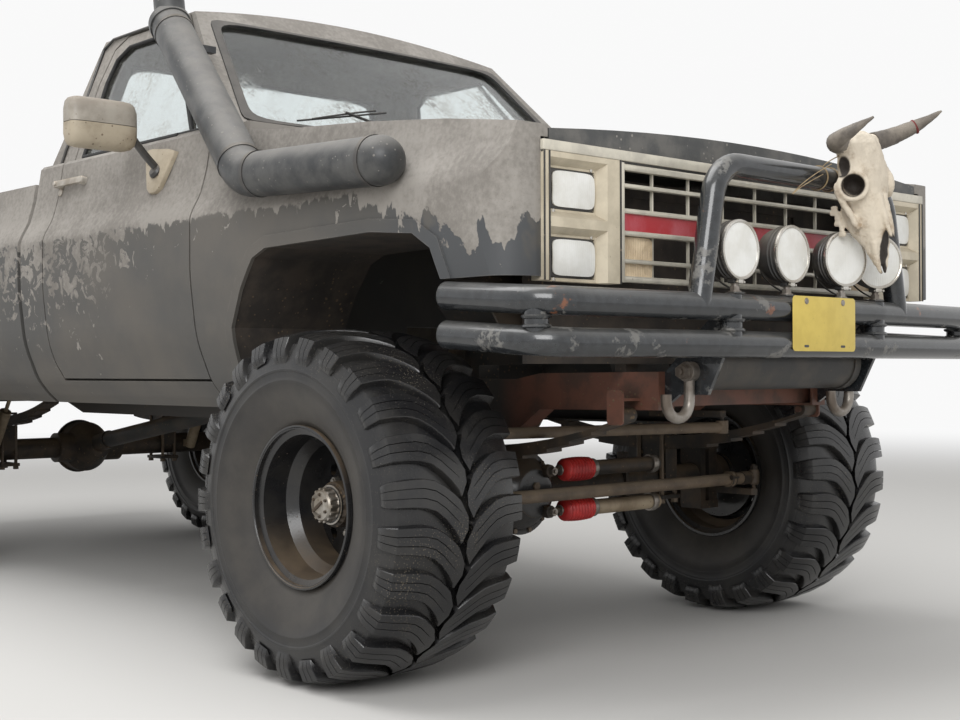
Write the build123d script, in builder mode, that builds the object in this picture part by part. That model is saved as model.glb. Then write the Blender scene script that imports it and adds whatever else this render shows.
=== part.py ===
from build123d import *
import os
from math import atan2, cos, degrees, radians, sin, sqrt, tan

# Lifted 4x4 pickup. X points forward, Y to the left, Z up, ground at Z = 0.
# A "station" is a distance along X from the front axle, negative towards the rear.

# Driving dimensions
wheelbase = 3340.0
front_axle_x = 1733.5
half_track = 900.0
tyre_radius = 492.0
tyre_width = 457.0
rocker_height = 750.0
rear_axle_station = -wheelbase

running_gap = 0.3
shaft_clearance = 0.05


def at(station):
    """Global X of a station measured from the front axle."""
    return front_axle_x + station


def up(height):
    """Global Z of a height measured from the rocker."""
    return rocker_height + height


def save(part, name):
    """Label a finished piece and write it as a STEP file."""
    part.label = name
    export_step(part, "parts/" + name + ".step")


os.makedirs("parts", exist_ok=True)

# Body lines
door_front = -692.0
door_rear = -1718.0
cab_rear = -1901.0
bed_front = -1929.0
bed_rear = -4400.0
fender_front = 745.0
skin = 7.0
sill_height = 885.0
sill_half_width = 925.0
belt_height = 900.0
belt_half_width = 880.0
roof_edge_height = 1385.0
roof_edge_half_width = 717.0
roof_crown = 58.0

# Deep enough to pass through half the body
prism_depth = 1300.0

# Body side section, columns: height above the rocker, half width of the skin, radius of the bend there
side_section = [
    (0, 850, 0),
    (30, 885, 100),
    (85, 930, 150),
    (220, 985, 400),
    (420, 1008, 800),
    (600, 1008, 60),
    (625, 998, 60),
    (680, 968, 150),
    (760, 945, 300),
    (sill_height, sill_half_width, 0),
]


def half_width(height):
    """Half width of the body skin at a height above the rocker."""
    for (low, y_low, _), (high, y_high, _) in zip(side_section, side_section[1:]):
        if height <= high:
            return y_low + (y_high - y_low) * (height - low) / (high - low)
    return sill_half_width


def side_chain(bottom, top, inset):
    """Corners of the left skin line from bottom to top, moved inwards."""
    heights = [bottom] + [h for h, y, bend in side_section if bottom < h < top] + [top]
    return [(half_width(h) - inset, up(h)) for h in heights]


def side_bends(bottom, top):
    """Radii of the bends between bottom and top, in the order of side_chain's corners."""
    return [bend for h, y, bend in side_section if bottom < h < top]


def side_slab(front, rear, bottom, top, inner_y, inset=0.0):
    """Left-hand block between two stations, from inner_y out to the skin line."""
    chain = side_chain(bottom, top, inset)
    with BuildPart() as slab:
        with BuildSketch(Plane.YZ.offset(at(rear))):
            with BuildLine():
                if len(chain) > 2:
                    skin_line = FilletPolyline(*chain, radius=side_bends(bottom, top))
                else:
                    skin_line = Line(*chain)
                Polyline(skin_line @ 0, (inner_y, up(bottom)), (inner_y, up(top)), skin_line @ 1)
            make_face()
        extrude(amount=front - rear)
    return slab.part


def side_prism(outline, amount=0.0):
    """Prism over the left half from a side view of (station, height), grown all round by an amount."""
    points = [(at(s), up(h)) for s, h in outline]
    with BuildPart() as prism:
        with BuildSketch(Plane.XZ):
            Polygon(*points, align=None)
            if amount:
                offset(amount=amount, kind=Kind.INTERSECTION)
        extrude(amount=-prism_depth)
    return prism.part


lip_width = 36.0
lip_height = 5.0


def arch_lip(outline, front, rear):
    """Raised band round a wheel arch in the left skin, for an arch outline of (station, height)."""
    top = max(h for s, h in outline) + 2 * lip_width
    with BuildPart() as lip:
        add(side_slab(front, rear, 0, top, belt_half_width - 2 * lip_width, -lip_height))
        add(side_slab(front, rear, 0, top, belt_half_width - 2 * lip_width, skin / 2), mode=Mode.SUBTRACT)
        add(side_prism(outline, lip_width), mode=Mode.INTERSECT)
        add(side_prism(outline), mode=Mode.SUBTRACT)
    return lip.part


def tube_path(points, bend, radius, wall=0.0):
    """Round tube along straight runs joined by arcs; bend is one radius per corner."""
    with BuildPart() as tube:
        with BuildLine() as route:
            if len(points) > 2:
                FilletPolyline(*points, radius=bend)
            else:
                Line(*points)
        with BuildSketch(Plane(origin=route.line @ 0, z_dir=route.line % 0)):
            Circle(radius)
            if wall:
                Circle(radius - wall, mode=Mode.SUBTRACT)
        sweep(path=route.line, transition=Transition.RIGHT)
    return tube.part


def rod_between(start, end, radius):
    """Plain round rod from one point to another."""
    direction = Vector(*end) - Vector(*start)
    with BuildPart() as rod:
        with BuildSketch(Plane(origin=start, z_dir=direction)):
            Circle(radius)
        extrude(amount=direction.length)
    return rod.part


# Frame
rail_inner = 330.0
rail_outer = 396.0
rail_wall = 7.0
rail_front = 705.0
rail_rear = -4350.0

# Rail side view, columns: station, bottom height, top height (above ground)
rail_shape = [
    (rail_rear, 775, 885),
    (-3750, 790, 915),
    (-2950, 790, 915),
    (-2600, 685, 840),
    (150, 685, 840),
    (250, 752, 858),
    (rail_front, 757, 862),
]

hanger_member_z = 775.0
hanger_member_depth = 110.0

# Crossmembers, columns: station, centre height, length along X, depth
crossmembers = [
    (640, 800, 60, 70),
    (330, 790, 50, 60),
    (-1080, 722, 110, 60),
    (-2250, hanger_member_z, 60, hanger_member_depth),
    (-3050, 850, 60, 90),
    (-3700, 850, 60, 90),
    (-4310, 830, 60, 90),
]

cab_floor_bottom = up(120)
bed_sill_bottom = up(230)
bed_sill_stations = [-2100, -3000, -3680, -4250]
mount_radius = 32.0
mount_foot = 830.0

# Body mounts, columns: station, foot inside the rail's top, head under the cab or the bed
body_mounts = [(station, mount_foot, cab_floor_bottom) for station in (-780, -1780)]
body_mounts += [(station, mount_foot, bed_sill_bottom) for station in bed_sill_stations]

spring_y = 430.0
spring_width = 63.0
eye_radius = 21.0
eye_pin_radius = 10.0
spring_half = 610.0
front_eye_height = 742.0
rear_eye_height = 790.0
hanger_plate = 6.0
spring_edge = spring_y + spring_width / 2

# Spring hangers, columns: station of the axle, height of the eyes
spring_sets = [
    (0.0, front_eye_height),
    (rear_axle_station, rear_eye_height),
]


def rail_edges(column):
    return [(at(row[0]), row[column]) for row in rail_shape]


with BuildPart() as frame:
    rail_outline = rail_edges(1) + list(reversed(rail_edges(2)))
    with BuildSketch(Plane.XZ.offset(-rail_inner)):
        Polygon(*rail_outline, align=None)
    extrude(amount=-(rail_outer - rail_inner))
    with BuildSketch(Plane.XZ.offset(-rail_inner)):
        Polygon(*rail_outline, align=None)
        offset(amount=-rail_wall, mode=Mode.REPLACE)
    extrude(amount=-(rail_outer - rail_inner - rail_wall), mode=Mode.SUBTRACT)
    for axle, eye_height in spring_sets:
        for end in (spring_half, -spring_half):
            with BuildSketch(Plane.XZ.offset(-(rail_outer - rail_wall))):
                with Locations((at(axle + end), eye_height)):
                    Circle(eye_pin_radius)
            extrude(amount=-(spring_edge + running_gap + hanger_plate - rail_outer + rail_wall))
            with BuildSketch(Plane.XZ.offset(-(spring_edge + running_gap))):
                with Locations((at(axle + end), eye_height + 22)):
                    RectangleRounded(58, 96, 12)
            extrude(amount=-hanger_plate)
            with BuildSketch(Plane.XY.offset(eye_height + 40)):
                with Locations((at(axle + end), (rail_outer + spring_edge) / 2)):
                    Rectangle(58, spring_edge - rail_outer + 2 * (running_gap + hanger_plate) - 6)
            extrude(amount=8)
    for station, foot, head in body_mounts:
        with Locations((at(station), (rail_inner + rail_outer) / 2, foot)):
            Cylinder(mount_radius, head - foot, align=(Align.CENTER, Align.CENTER, Align.MIN))
    mirror(about=Plane.XZ)
    for station, height, length, depth in crossmembers:
        with BuildSketch(Plane.XZ.offset(-(rail_outer - rail_wall))):
            with Locations((at(station), height)):
                Rectangle(length, depth)
                Rectangle(length - 2 * rail_wall, depth - 2 * rail_wall, mode=Mode.SUBTRACT)
        extrude(amount=2 * (rail_outer - rail_wall))
save(frame.part, "frame")

# Front bumper: two tubes, posts, brush guard hoop, carrying plates and tow hooks
bumper_tube = 36.0
upper_tube_z = up(282)
lower_tube_z = up(184)
bumper_front = 911.0
bumper_centre_half = 345.0
bumper_wing_front = 868.0
bumper_half_width = 1000.0
bumper_side_end = 525.0
side_rise = 24.0
hoop_tube = 32.0
hoop_foot_y = 476.0
hoop_top_y = 398.0
hoop_top_z = up(659)
hoop_bend = 110.0
plate_inner = 357.0
plate_thick = 12.0
hook_rod = 14.0


def bumper_run(height):
    """Bumper tube seen from above, with its ends swept back along the sides."""
    half = [
        (at(bumper_side_end), bumper_half_width, height + side_rise),
        (at(bumper_wing_front), bumper_half_width, height),
        (at(bumper_front), bumper_centre_half, height),
    ]
    right = [(x, -y, z) for x, y, z in reversed(half)]
    return tube_path(half + right, (110, 400, 400, 110), bumper_tube)


hook_bend = 48.0


def tow_hook(shank_y):
    """Hook of round bar: a shank down, a half turn outwards, a short tip up."""
    with BuildPart() as hook:
        with BuildLine() as route:
            Line((at(800), shank_y, 872), (at(800), shank_y, 786))
            ThreePointArc(
                (at(800), shank_y, 786),
                (at(800), shank_y - hook_bend, 786 - hook_bend),
                (at(800), shank_y - 2 * hook_bend, 786),
            )
        with BuildSketch(Plane(origin=route.line @ 0, z_dir=route.line % 0)):
            Circle(hook_rod)
        sweep(path=route.line)
        with Locations((at(800), shank_y, 862)):
            Cylinder(24, 28, rotation=(90, 0, 0))
    return hook.part


with BuildPart() as front_bumper:
    add(bumper_run(upper_tube_z))
    add(bumper_run(lower_tube_z))
    for y in (bumper_centre_half, -bumper_centre_half):
        with Locations((at(bumper_front), y, lower_tube_z - 8)):
            Cylinder(30, upper_tube_z - lower_tube_z + 40, align=(Align.CENTER, Align.CENTER, Align.MIN))
    for y in (bumper_half_width - 18, -bumper_half_width + 18):
        with Locations((at(bumper_wing_front - 45), y, lower_tube_z)):
            Cylinder(30, upper_tube_z - lower_tube_z, align=(Align.CENTER, Align.CENTER, Align.MIN))
    add(tube_path(
        [
            (at(bumper_front - 4), -hoop_foot_y, upper_tube_z),
            (at(bumper_front - 4), -hoop_top_y, hoop_top_z),
            (at(bumper_front - 4), hoop_top_y, hoop_top_z),
            (at(bumper_front - 4), hoop_foot_y, upper_tube_z),
        ],
        hoop_bend,
        hoop_tube,
    ))
    for side in (1, -1):
        first = -plate_inner - plate_thick if side > 0 else plate_inner
        with BuildSketch(Plane.XZ.offset(first)):
            Polygon(
                (at(rail_front), 765),
                (at(rail_front), 860),
                (at(bumper_front - 10), upper_tube_z + 10),
                (at(bumper_front + 8), lower_tube_z),
                (at(bumper_front - 60), 800),
                (at(rail_front + 50), 800),
                align=None,
            )
        extrude(amount=plate_thick)
    for shank_y in (-plate_inner - plate_thick - hook_rod + 1, plate_inner + plate_thick + hook_rod - 1):
        add(tow_hook(shank_y))
save(front_bumper.part, "front_bumper")

# Air tank between the bumper's carrying plates
tank_radius = 76.0
tank_station = 792.0
tank_z = up(137)
tank_band_y = 322.0

with BuildPart() as air_tank:
    tank_end = plate_inner - 12
    with BuildSketch(Plane.XY.offset(tank_z)):
        Polygon(
            (at(tank_station), -tank_end),
            (at(tank_station) + tank_radius - 24, -tank_end),
            (at(tank_station) + tank_radius, -tank_end + 24),
            (at(tank_station) + tank_radius, tank_end - 24),
            (at(tank_station) + tank_radius - 24, tank_end),
            (at(tank_station), tank_end),
            align=None,
        )
    revolve(axis=Axis((at(tank_station), 0, tank_z), (0, 1, 0)))
    for y in (tank_band_y, -tank_band_y):
        with Locations((at(tank_station), y, tank_z)):
            Cylinder(tank_radius + 4, 30, rotation=(90, 0, 0))
        with Locations((at(tank_station - 20), (y / tank_band_y) * (tank_band_y + plate_inner) / 2, tank_z - 66)):
            Box(50, plate_inner - tank_band_y, 26)
save(air_tank.part, "air_tank")

# Driving lamps, columns: centre Y, yaw in degrees
lamp_places = [(-320, 0), (-86, 0), (181, -14), (361, -26)]
lamp_radius = 80.0
lamp_depth = 100.0
lamp_z = up(434)
lamp_station = 905.0
lamp_bracket = 9.0

with BuildPart() as driving_lamps:
    for lamp_y, yaw in lamp_places:
        lamp_axis = Plane(
            origin=(at(lamp_station), lamp_y, lamp_z),
            z_dir=(cos(radians(yaw)), sin(radians(yaw)), 0),
            x_dir=(-sin(radians(yaw)), cos(radians(yaw)), 0),
        )
        with BuildSketch(lamp_axis):
            Circle(lamp_radius)
        extrude(amount=24)
        with BuildSketch(lamp_axis):
            Circle(lamp_radius - 3)
        extrude(amount=-(lamp_depth - 24), taper=26)
        with Locations((at(lamp_station), lamp_y, upper_tube_z + bumper_tube - 1)):
            Cylinder(lamp_bracket, lamp_z - upper_tube_z - bumper_tube - 30,
                     align=(Align.CENTER, Align.CENTER, Align.MIN))
        with Locations((at(lamp_station), lamp_y, upper_tube_z + bumper_tube + 2.5)):
            Box(44, 34, 5)
            Cylinder(lamp_bracket, 8)
    add(front_bumper.part, mode=Mode.SUBTRACT)
save(driving_lamps.part, "driving_lamps")

# Horned skull hung on the front of the guard's top bar
skull_back = bumper_front - 4 + hoop_tube + running_gap

# Skull sections, columns: height, centre Y, width, depth, distance ahead of the bar
skull_sections = [
    (up(790), 192, 120, 60, 10),
    (up(740), 200, 186, 118, 0),
    (up(650), 222, 200, 122, 0),
    (up(560), 250, 126, 98, 20),
    (up(430), 292, 92, 62, 44),
]
# Horn spine from the skull's side, columns: forward, outward, height, radius
horn_spine = [
    (52, 50, up(748), 36),
    (58, 120, up(766), 31),
    (88, 166, up(788), 21),
    (122, 172, up(826), 6),
]
horn_tilt = 0.13
skull_y = 205.0

with BuildPart() as skull:
    for height, centre, width, depth, ahead in skull_sections:
        with BuildSketch(Plane.XY.offset(height)):
            with Locations((at(skull_back + ahead) + depth / 2, centre)):
                RectangleRounded(depth, width, 0.3 * depth)
    loft(ruled=True)
    for side in (1, -1):
        for (x0, y0, z0, r0), (x1, y1, z1, r1) in zip(horn_spine, horn_spine[1:]):
            start = Vector(at(skull_back) + x0, skull_y + side * y0, z0 + side * y0 * horn_tilt)
            end = Vector(at(skull_back) + x1, skull_y + side * y1, z1 + side * y1 * horn_tilt)
            with BuildSketch(Plane(origin=start, z_dir=end - start)):
                Circle(r0)
            with BuildSketch(Plane(origin=end, z_dir=end - start)):
                Circle(r1)
            loft(ruled=True)
            with Locations(end):
                Sphere(r1)
save(skull.part, "skull")

# Rear step bumper with a hole for a tow ball
step_bumper_rear = -4534.0
ball_hole_radius = 12.8
step_half_width = 930.0
step_top = 850.0
step_plate = 8.0
ball_block = 60.0

with BuildPart() as rear_bumper:
    step_profile = [
        (at(-4425), step_top),
        (at(-4510), step_top),
        (at(step_bumper_rear), step_top - 24),
        (at(step_bumper_rear), step_top - 130),
        (at(-4500), step_top - 150),
        (at(-4425), step_top - 150),
    ]
    with BuildSketch(Plane.XZ.offset(-step_half_width)):
        Polygon(*step_profile, align=None)
    extrude(amount=2 * step_half_width)
    with BuildSketch(Plane.XZ.offset(-step_half_width - 1)):
        Polygon(
            (at(-4415), step_top - step_plate),
            (at(-4508), step_top - step_plate),
            (at(step_bumper_rear + step_plate), step_top - 28),
            (at(step_bumper_rear + step_plate), step_top - 126),
            (at(-4498), step_top - 142),
            (at(-4415), step_top - 142),
            align=None,
        )
    extrude(amount=2 * step_half_width + 2, mode=Mode.SUBTRACT)
    with Locations((at(-4470), 0, step_top - ball_block / 2)):
        Box(80, 120, ball_block)
    with Locations((at(-4470), 0, step_top)):
        Hole(ball_hole_radius, depth=ball_block)
    for y in (1, -1):
        with BuildSketch(Plane.XZ.offset(-y * (rail_outer + step_plate / 2) + step_plate / 2)):
            Polygon(
                (at(-4290), 790),
                (at(-4290), 870),
                (at(-4425), step_top),
                (at(-4425 - step_plate / 2), step_top - 142),
                align=None,
            )
        extrude(amount=-step_plate)
        with Locations((at(-4440), y * (rail_outer + step_plate / 2), step_top - 75)):
            Box(60, step_plate, 142)
        with Locations((at(-4467), y * (rail_outer + step_plate / 2), step_top - 66)):
            Box(120, step_plate, 120)
save(rear_bumper.part, "rear_bumper")

# Engine, gearbox and transfer case
engine_front = 300.0
engine_rear = -330.0
engine_bottom = 770.0
engine_top = 1300.0
case_station = -1010.0

with BuildPart() as engine:
    with BuildSketch(Plane.YZ.offset(at(engine_rear))):
        with BuildLine():
            Polyline(
                (-110, engine_bottom),
                (110, engine_bottom),
                (150, engine_bottom + 160),
                (290, engine_top - 220),
                (230, engine_top - 60),
                (90, engine_top),
                (-90, engine_top),
                (-230, engine_top - 60),
                (-290, engine_top - 220),
                (-150, engine_bottom + 160),
                (-110, engine_bottom),
            )
        make_face()
    extrude(amount=engine_front - engine_rear)
    for y in (1, -1):
        with Locations((at(-40), y * (rail_inner - 102.5), 860)):
            Box(90, 205, 46)
save(engine.part, "engine")

with BuildPart() as gearbox:
    with BuildSketch(Plane.YZ.offset(at(engine_rear))):
        with Locations((0, 870)):
            Circle(175)
    with BuildSketch(Plane.YZ.offset(at(engine_rear - 130))):
        with Locations((0, 850)):
            Circle(120)
    loft(ruled=True)
    with BuildSketch(Plane.YZ.offset(at(engine_rear - 130))):
        with Locations((0, 845)):
            RectangleRounded(210, 190, 40)
    extrude(amount=-(engine_rear - 130 - case_station - 60))
    with BuildSketch(Plane.YZ.offset(at(case_station - 130))):
        with Locations((-70, 832)):
            RectangleRounded(400, 160, 60)
    extrude(amount=190)
save(gearbox.part, "gearbox")

# Radiator with its support panel
radiator_station = 560.0
radiator_bottom = 884.0
radiator_top = up(640)
support_half = 800.0
support_thick = 8.0
with BuildPart() as radiator:
    height = radiator_top - radiator_bottom
    with Locations((at(radiator_station), 0, radiator_bottom)):
        Box(60, 860, height, align=(Align.CENTER, Align.CENTER, Align.MIN))
    with Locations((at(radiator_station + 30 + support_thick / 2), 0, radiator_bottom)):
        Box(support_thick, 2 * support_half, height, align=(Align.CENTER, Align.CENTER, Align.MIN))
    with Locations((at(radiator_station + 30 + support_thick / 2), 0, (radiator_bottom + radiator_top) / 2)):
        Box(support_thick, 780, height - 90, mode=Mode.SUBTRACT)
    for y in (1, -1):
        with Locations((at(radiator_station), y * (rail_inner + rail_outer) / 2, radiator_bottom)):
            Box(40, 50, 26, align=(Align.CENTER, Align.CENTER, Align.MAX))
    add(frame.part, mode=Mode.SUBTRACT)
save(radiator.part, "radiator")

# Axles
axle_z = tyre_radius
diff_y = -310.0
diff_radius = 122.0
front_tube = 42.0
rear_tube = 50.0
kingpin_y = 690.0
kingpin_radius = 16.0
ear_height = 92.0
ear_thick = 26.0
ear_reach = 44.0
perch_width = 58.0

# Leaf spring, height of the main leaf at the axle and of each lower leaf's half length
leaf_thick = 9.0
leaf_low = 640.0
rear_leaf_low = 655.0
leaf_half_lengths = [520, 430, 340, 240]
pack_depth = leaf_thick * (1 + len(leaf_half_lengths))


def differential(centre_y, tube_radius, cover_sign):
    """Differential housing with a domed cover and a pinion snout."""
    with BuildPart() as housing:
        with BuildSketch(Plane.YZ.offset(at(0))):
            with Locations((centre_y, axle_z)):
                Circle(diff_radius)
        extrude(amount=cover_sign * 70)
        with BuildSketch(Plane.YZ.offset(at(0) + cover_sign * 70)):
            with Locations((centre_y, axle_z)):
                Circle(diff_radius + 8)
        extrude(amount=cover_sign * 14)
        with BuildSketch(Plane.YZ.offset(at(0) + cover_sign * 84)):
            with Locations((centre_y, axle_z)):
                Circle(diff_radius - 6)
        extrude(amount=cover_sign * 62, taper=34)
        with BuildSketch(Plane.YZ.offset(at(0))):
            with Locations((centre_y, axle_z)):
                Circle(diff_radius)
        extrude(amount=-cover_sign * 150, taper=26)
        with Locations((at(0), centre_y, axle_z)):
            Cylinder(tube_radius + 22, 2 * diff_radius + 90, rotation=(90, 0, 0))
    return housing.part


pinion_reach = 240.0
pinion_radius = 44.0

with BuildPart() as front_axle:
    add(differential(diff_y, front_tube, 1))
    with BuildSketch(Plane.XZ.offset(-(kingpin_y - 50))):
        with Locations((at(0), axle_z)):
            Circle(front_tube)
    extrude(amount=2 * (kingpin_y - 50))
    add(rod_between((at(-100), diff_y, axle_z + 20), (at(-pinion_reach), diff_y, axle_z + 62), pinion_radius))
    for side in (1, -1):
        with BuildSketch(Plane.XZ.offset(-side * (kingpin_y - 74))):
            with Locations((at(0), axle_z)):
                RectangleRounded(92, 2 * (ear_height + ear_thick), 20)
        extrude(amount=-side * 26)
        for level in (1, -1):
            with Locations((at(0), side * (kingpin_y - 24), axle_z + level * (ear_height + ear_thick / 2))):
                Box(2 * ear_reach, 2 * (50 - ear_reach) + 2 * ear_reach, ear_thick)
            with Locations((at(0), side * kingpin_y, axle_z + level * (ear_height + ear_thick / 2))):
                Cylinder(kingpin_radius + shaft_clearance, ear_thick + 2, mode=Mode.SUBTRACT)
        with Locations((at(0), side * spring_y, axle_z)):
            Box(130, perch_width, leaf_low - pack_depth - axle_z,
                align=(Align.CENTER, Align.CENTER, Align.MIN))
save(front_axle.part, "front_axle")

with BuildPart() as rear_axle:
    add(differential(0, rear_tube, -1).moved(Location((rear_axle_station, 0, 0))))
    with BuildSketch(Plane.XZ.offset(-(half_track - 145))):
        with Locations((at(rear_axle_station), axle_z)):
            Circle(rear_tube)
    extrude(amount=2 * (half_track - 145))
    add(rod_between(
        (at(rear_axle_station + 100), 0, axle_z + 14),
        (at(rear_axle_station + pinion_reach), 0, axle_z + 44),
        pinion_radius,
    ))
    for side in (1, -1):
        with Locations((at(rear_axle_station), side * spring_y, axle_z)):
            Box(130, perch_width, rear_leaf_low - pack_depth - axle_z,
                align=(Align.CENTER, Align.CENTER, Align.MIN))
save(rear_axle.part, "rear_axle")


def leaf_spring(axle, low, eye_height):
    """One spring pack: an arched main leaf with two eyes over four shorter leaves."""
    rise = eye_height - eye_radius - low + leaf_thick
    arc_radius = (spring_half ** 2 + rise ** 2) / (2 * rise)
    with BuildPart() as pack:
        for row, half in enumerate([spring_half] + leaf_half_lengths):
            inner = arc_radius + row * leaf_thick
            outer = inner + leaf_thick
            angle = degrees(half / arc_radius)
            centre_z = low + arc_radius
            with BuildSketch(Plane.XZ.offset(-(spring_y - spring_width / 2))):
                with Locations((at(axle), centre_z)):
                    Circle(outer)
                    Circle(inner, mode=Mode.SUBTRACT)
                half_chord = half if row == 0 else inner * sin(radians(angle))
                with Locations((at(axle), low - pack_depth)):
                    Rectangle(2 * half_chord, 400, align=(Align.CENTER, Align.CENTER),
                              mode=Mode.INTERSECT)
            extrude(amount=-spring_width)
        for end in (1, -1):
            with BuildSketch(Plane.XZ.offset(-(spring_y - spring_width / 2))):
                with Locations((at(axle + end * spring_half), eye_height)):
                    Circle(eye_radius)
            extrude(amount=-spring_width)
            with BuildSketch(Plane.XZ.offset(-(spring_y - spring_width / 2 + 1))):
                with Locations((at(axle + end * spring_half), eye_height)):
                    Circle(eye_pin_radius + running_gap)
            extrude(amount=-spring_width - 2, mode=Mode.SUBTRACT)
            with BuildSketch(Plane.XZ.offset(-(spring_y - spring_width / 2 - 1))):
                with Locations((at(axle + end * spring_half), eye_height)):
                    Circle(eye_pin_radius + running_gap)
            extrude(amount=-spring_width - 2, mode=Mode.SUBTRACT)
    return pack.part


with BuildPart() as leaf_springs:
    add(leaf_spring(0.0, leaf_low, front_eye_height))
    add(leaf_spring(rear_axle_station, rear_leaf_low, rear_eye_height))
    mirror(about=Plane.XZ)
save(leaf_springs.part, "leaf_springs")

# Shock absorbers, columns: station low, Y low, Z low, station high, Z high, way to the axle
shock_places = [
    (-96, 534, 470, -190, 800, 1),
    (rear_axle_station + 96, 534, 480, rear_axle_station + 330, 850, -1),
]
shock_body = 27.0
shock_rod = 9.0
shock_high_y = 510.0
with BuildPart() as shock_absorbers:
    for x0, y0, z0, x1, z1, way in shock_places:
        low = Vector(at(x0), y0, z0)
        high = Vector(at(x1), shock_high_y, z1)
        middle = low + (high - low) * 0.55
        add(rod_between(low, middle, shock_body))
        add(rod_between(low, high, shock_rod))
        with Locations((at(x0 + way * 40), y0, axle_z)):
            Box(70, 22, 36)
        with Locations((high.X, (rail_outer + shock_high_y + 14) / 2, high.Z)):
            Box(34, shock_high_y + 14 - rail_outer, 30)
    mirror(about=Plane.XZ)
    add(front_axle.part, mode=Mode.SUBTRACT)
    add(rear_axle.part, mode=Mode.SUBTRACT)
save(shock_absorbers.part, "shock_absorbers")

# Propeller shafts
shaft_radius = 38.0
front_shaft_start = (at(-pinion_reach + 6), diff_y, axle_z + 61)
front_shaft_end = (at(case_station + 50), -150.0, 800.0)
rear_shaft_start = (at(rear_axle_station + pinion_reach - 6), 0, axle_z + 43)
rear_shaft_end = (at(case_station - 120), 0, 840.0)
with BuildPart() as driveshafts:
    for start, end in ((front_shaft_start, front_shaft_end), (rear_shaft_start, rear_shaft_end)):
        add(rod_between(start, end, shaft_radius))
    for neighbour in (gearbox.part, front_axle.part, rear_axle.part):
        add(neighbour, mode=Mode.SUBTRACT)
save(driveshafts.part, "driveshafts")

# Exhaust, under the left floor
exhaust_radius = 32.0
exhaust_y = 225.0
exhaust_z = 655.0
with BuildPart() as exhaust:
    add(tube_path(
        [
            (at(-260), exhaust_y, 930),
            (at(-420), exhaust_y, exhaust_z),
            (at(-2450), exhaust_y, exhaust_z),
        ],
        (90,),
        exhaust_radius,
    ))
    with Locations((at(-1750), exhaust_y, exhaust_z)):
        Cylinder(80, 480, rotation=(0, 90, 0))
    with Locations((at(-2250), exhaust_y, exhaust_z)):
        Box(30, 12, hanger_member_z - hanger_member_depth / 2 - exhaust_z,
            align=(Align.CENTER, Align.CENTER, Align.MIN))
save(exhaust.part, "exhaust")

# Steering: knuckles, tie rod, drag link, pitman arm, box and dampers
steer_arm = 220.0
tie_rod_radius = 20.0
tie_rod_z = axle_z
ball_radius = 17.0
high_arm_out = 60.0
high_arm_z = 684.0
link_eye_half = 20.0
spindle_radius = 30.0
spindle_end = 965.0
knuckle_height = 2 * ear_height - 2 * running_gap


def knuckle(side, high_arm):
    """Knuckle on its kingpin with a spindle outwards and an arm forwards."""
    pin = (at(0), side * kingpin_y)
    with BuildPart() as casting:
        with Locations((pin[0], pin[1], axle_z)):
            Box(84, 44, knuckle_height)
        with Locations((pin[0], pin[1], axle_z)):
            Cylinder(kingpin_radius, 2 * (ear_height + ear_thick) + 6)
        with BuildSketch(Plane.XZ.offset(-side * (kingpin_y + 20))):
            with Locations((pin[0], axle_z)):
                Circle(70)
        extrude(amount=-side * 40)
        with BuildSketch(Plane.XZ.offset(-side * (kingpin_y + 20))):
            with Locations((pin[0], axle_z)):
                Circle(spindle_radius)
        extrude(amount=-side * (spindle_end - kingpin_y - 20))
        with BuildSketch(Plane.XY.offset(tie_rod_z - 62)):
            Polygon(
                (pin[0], pin[1] - 20),
                (pin[0] + steer_arm, pin[1] - 15),
                (pin[0] + steer_arm + 15, pin[1]),
                (pin[0] + steer_arm, pin[1] + 15),
                (pin[0], pin[1] + 20),
                align=None,
            )
        extrude(amount=22)
        with Locations((pin[0] + steer_arm, pin[1], tie_rod_z - 62)):
            Cylinder(7, 62 - ball_radius, align=(Align.CENTER, Align.CENTER, Align.MIN))
        if high_arm:
            arm_top = high_arm_z - 40
            with BuildSketch(Plane.XY.offset(axle_z + ear_height + ear_thick + running_gap)):
                with Locations((pin[0], pin[1] + 20)):
                    RectangleRounded(70, 84, 12)
            extrude(amount=22)
            with BuildSketch(Plane.XY.offset(axle_z + ear_height + ear_thick + running_gap)):
                Polygon(
                    (pin[0] - 20, pin[1] + 24),
                    (pin[0] - 20, pin[1] + 58),
                    (pin[0] + 20, pin[1] + 58),
                    (pin[0] + 20, pin[1] + 24),
                    align=None,
                )
            extrude(amount=arm_top - axle_z - ear_height - ear_thick - running_gap)
            with BuildSketch(Plane.XY.offset(arm_top - 20)):
                Polygon(
                    (pin[0] - 20, pin[1] + 24),
                    (pin[0] - 20, pin[1] + 64),
                    (pin[0] + steer_arm, pin[1] + high_arm_out + 14),
                    (pin[0] + steer_arm + 14, pin[1] + high_arm_out),
                    (pin[0] + steer_arm, pin[1] + high_arm_out - 14),
                    align=None,
                )
            extrude(amount=20)
            with Locations((pin[0] + steer_arm, pin[1] + high_arm_out, arm_top - 1)):
                Cylinder(7, 41 - link_eye_half - running_gap, align=(Align.CENTER, Align.CENTER, Align.MIN))
    return casting.part


with BuildPart() as knuckle_right:
    add(knuckle(-1, True))
save(knuckle_right.part, "knuckle_right")

with BuildPart() as knuckle_left:
    add(knuckle(1, False))
save(knuckle_left.part, "knuckle_left")

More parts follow.
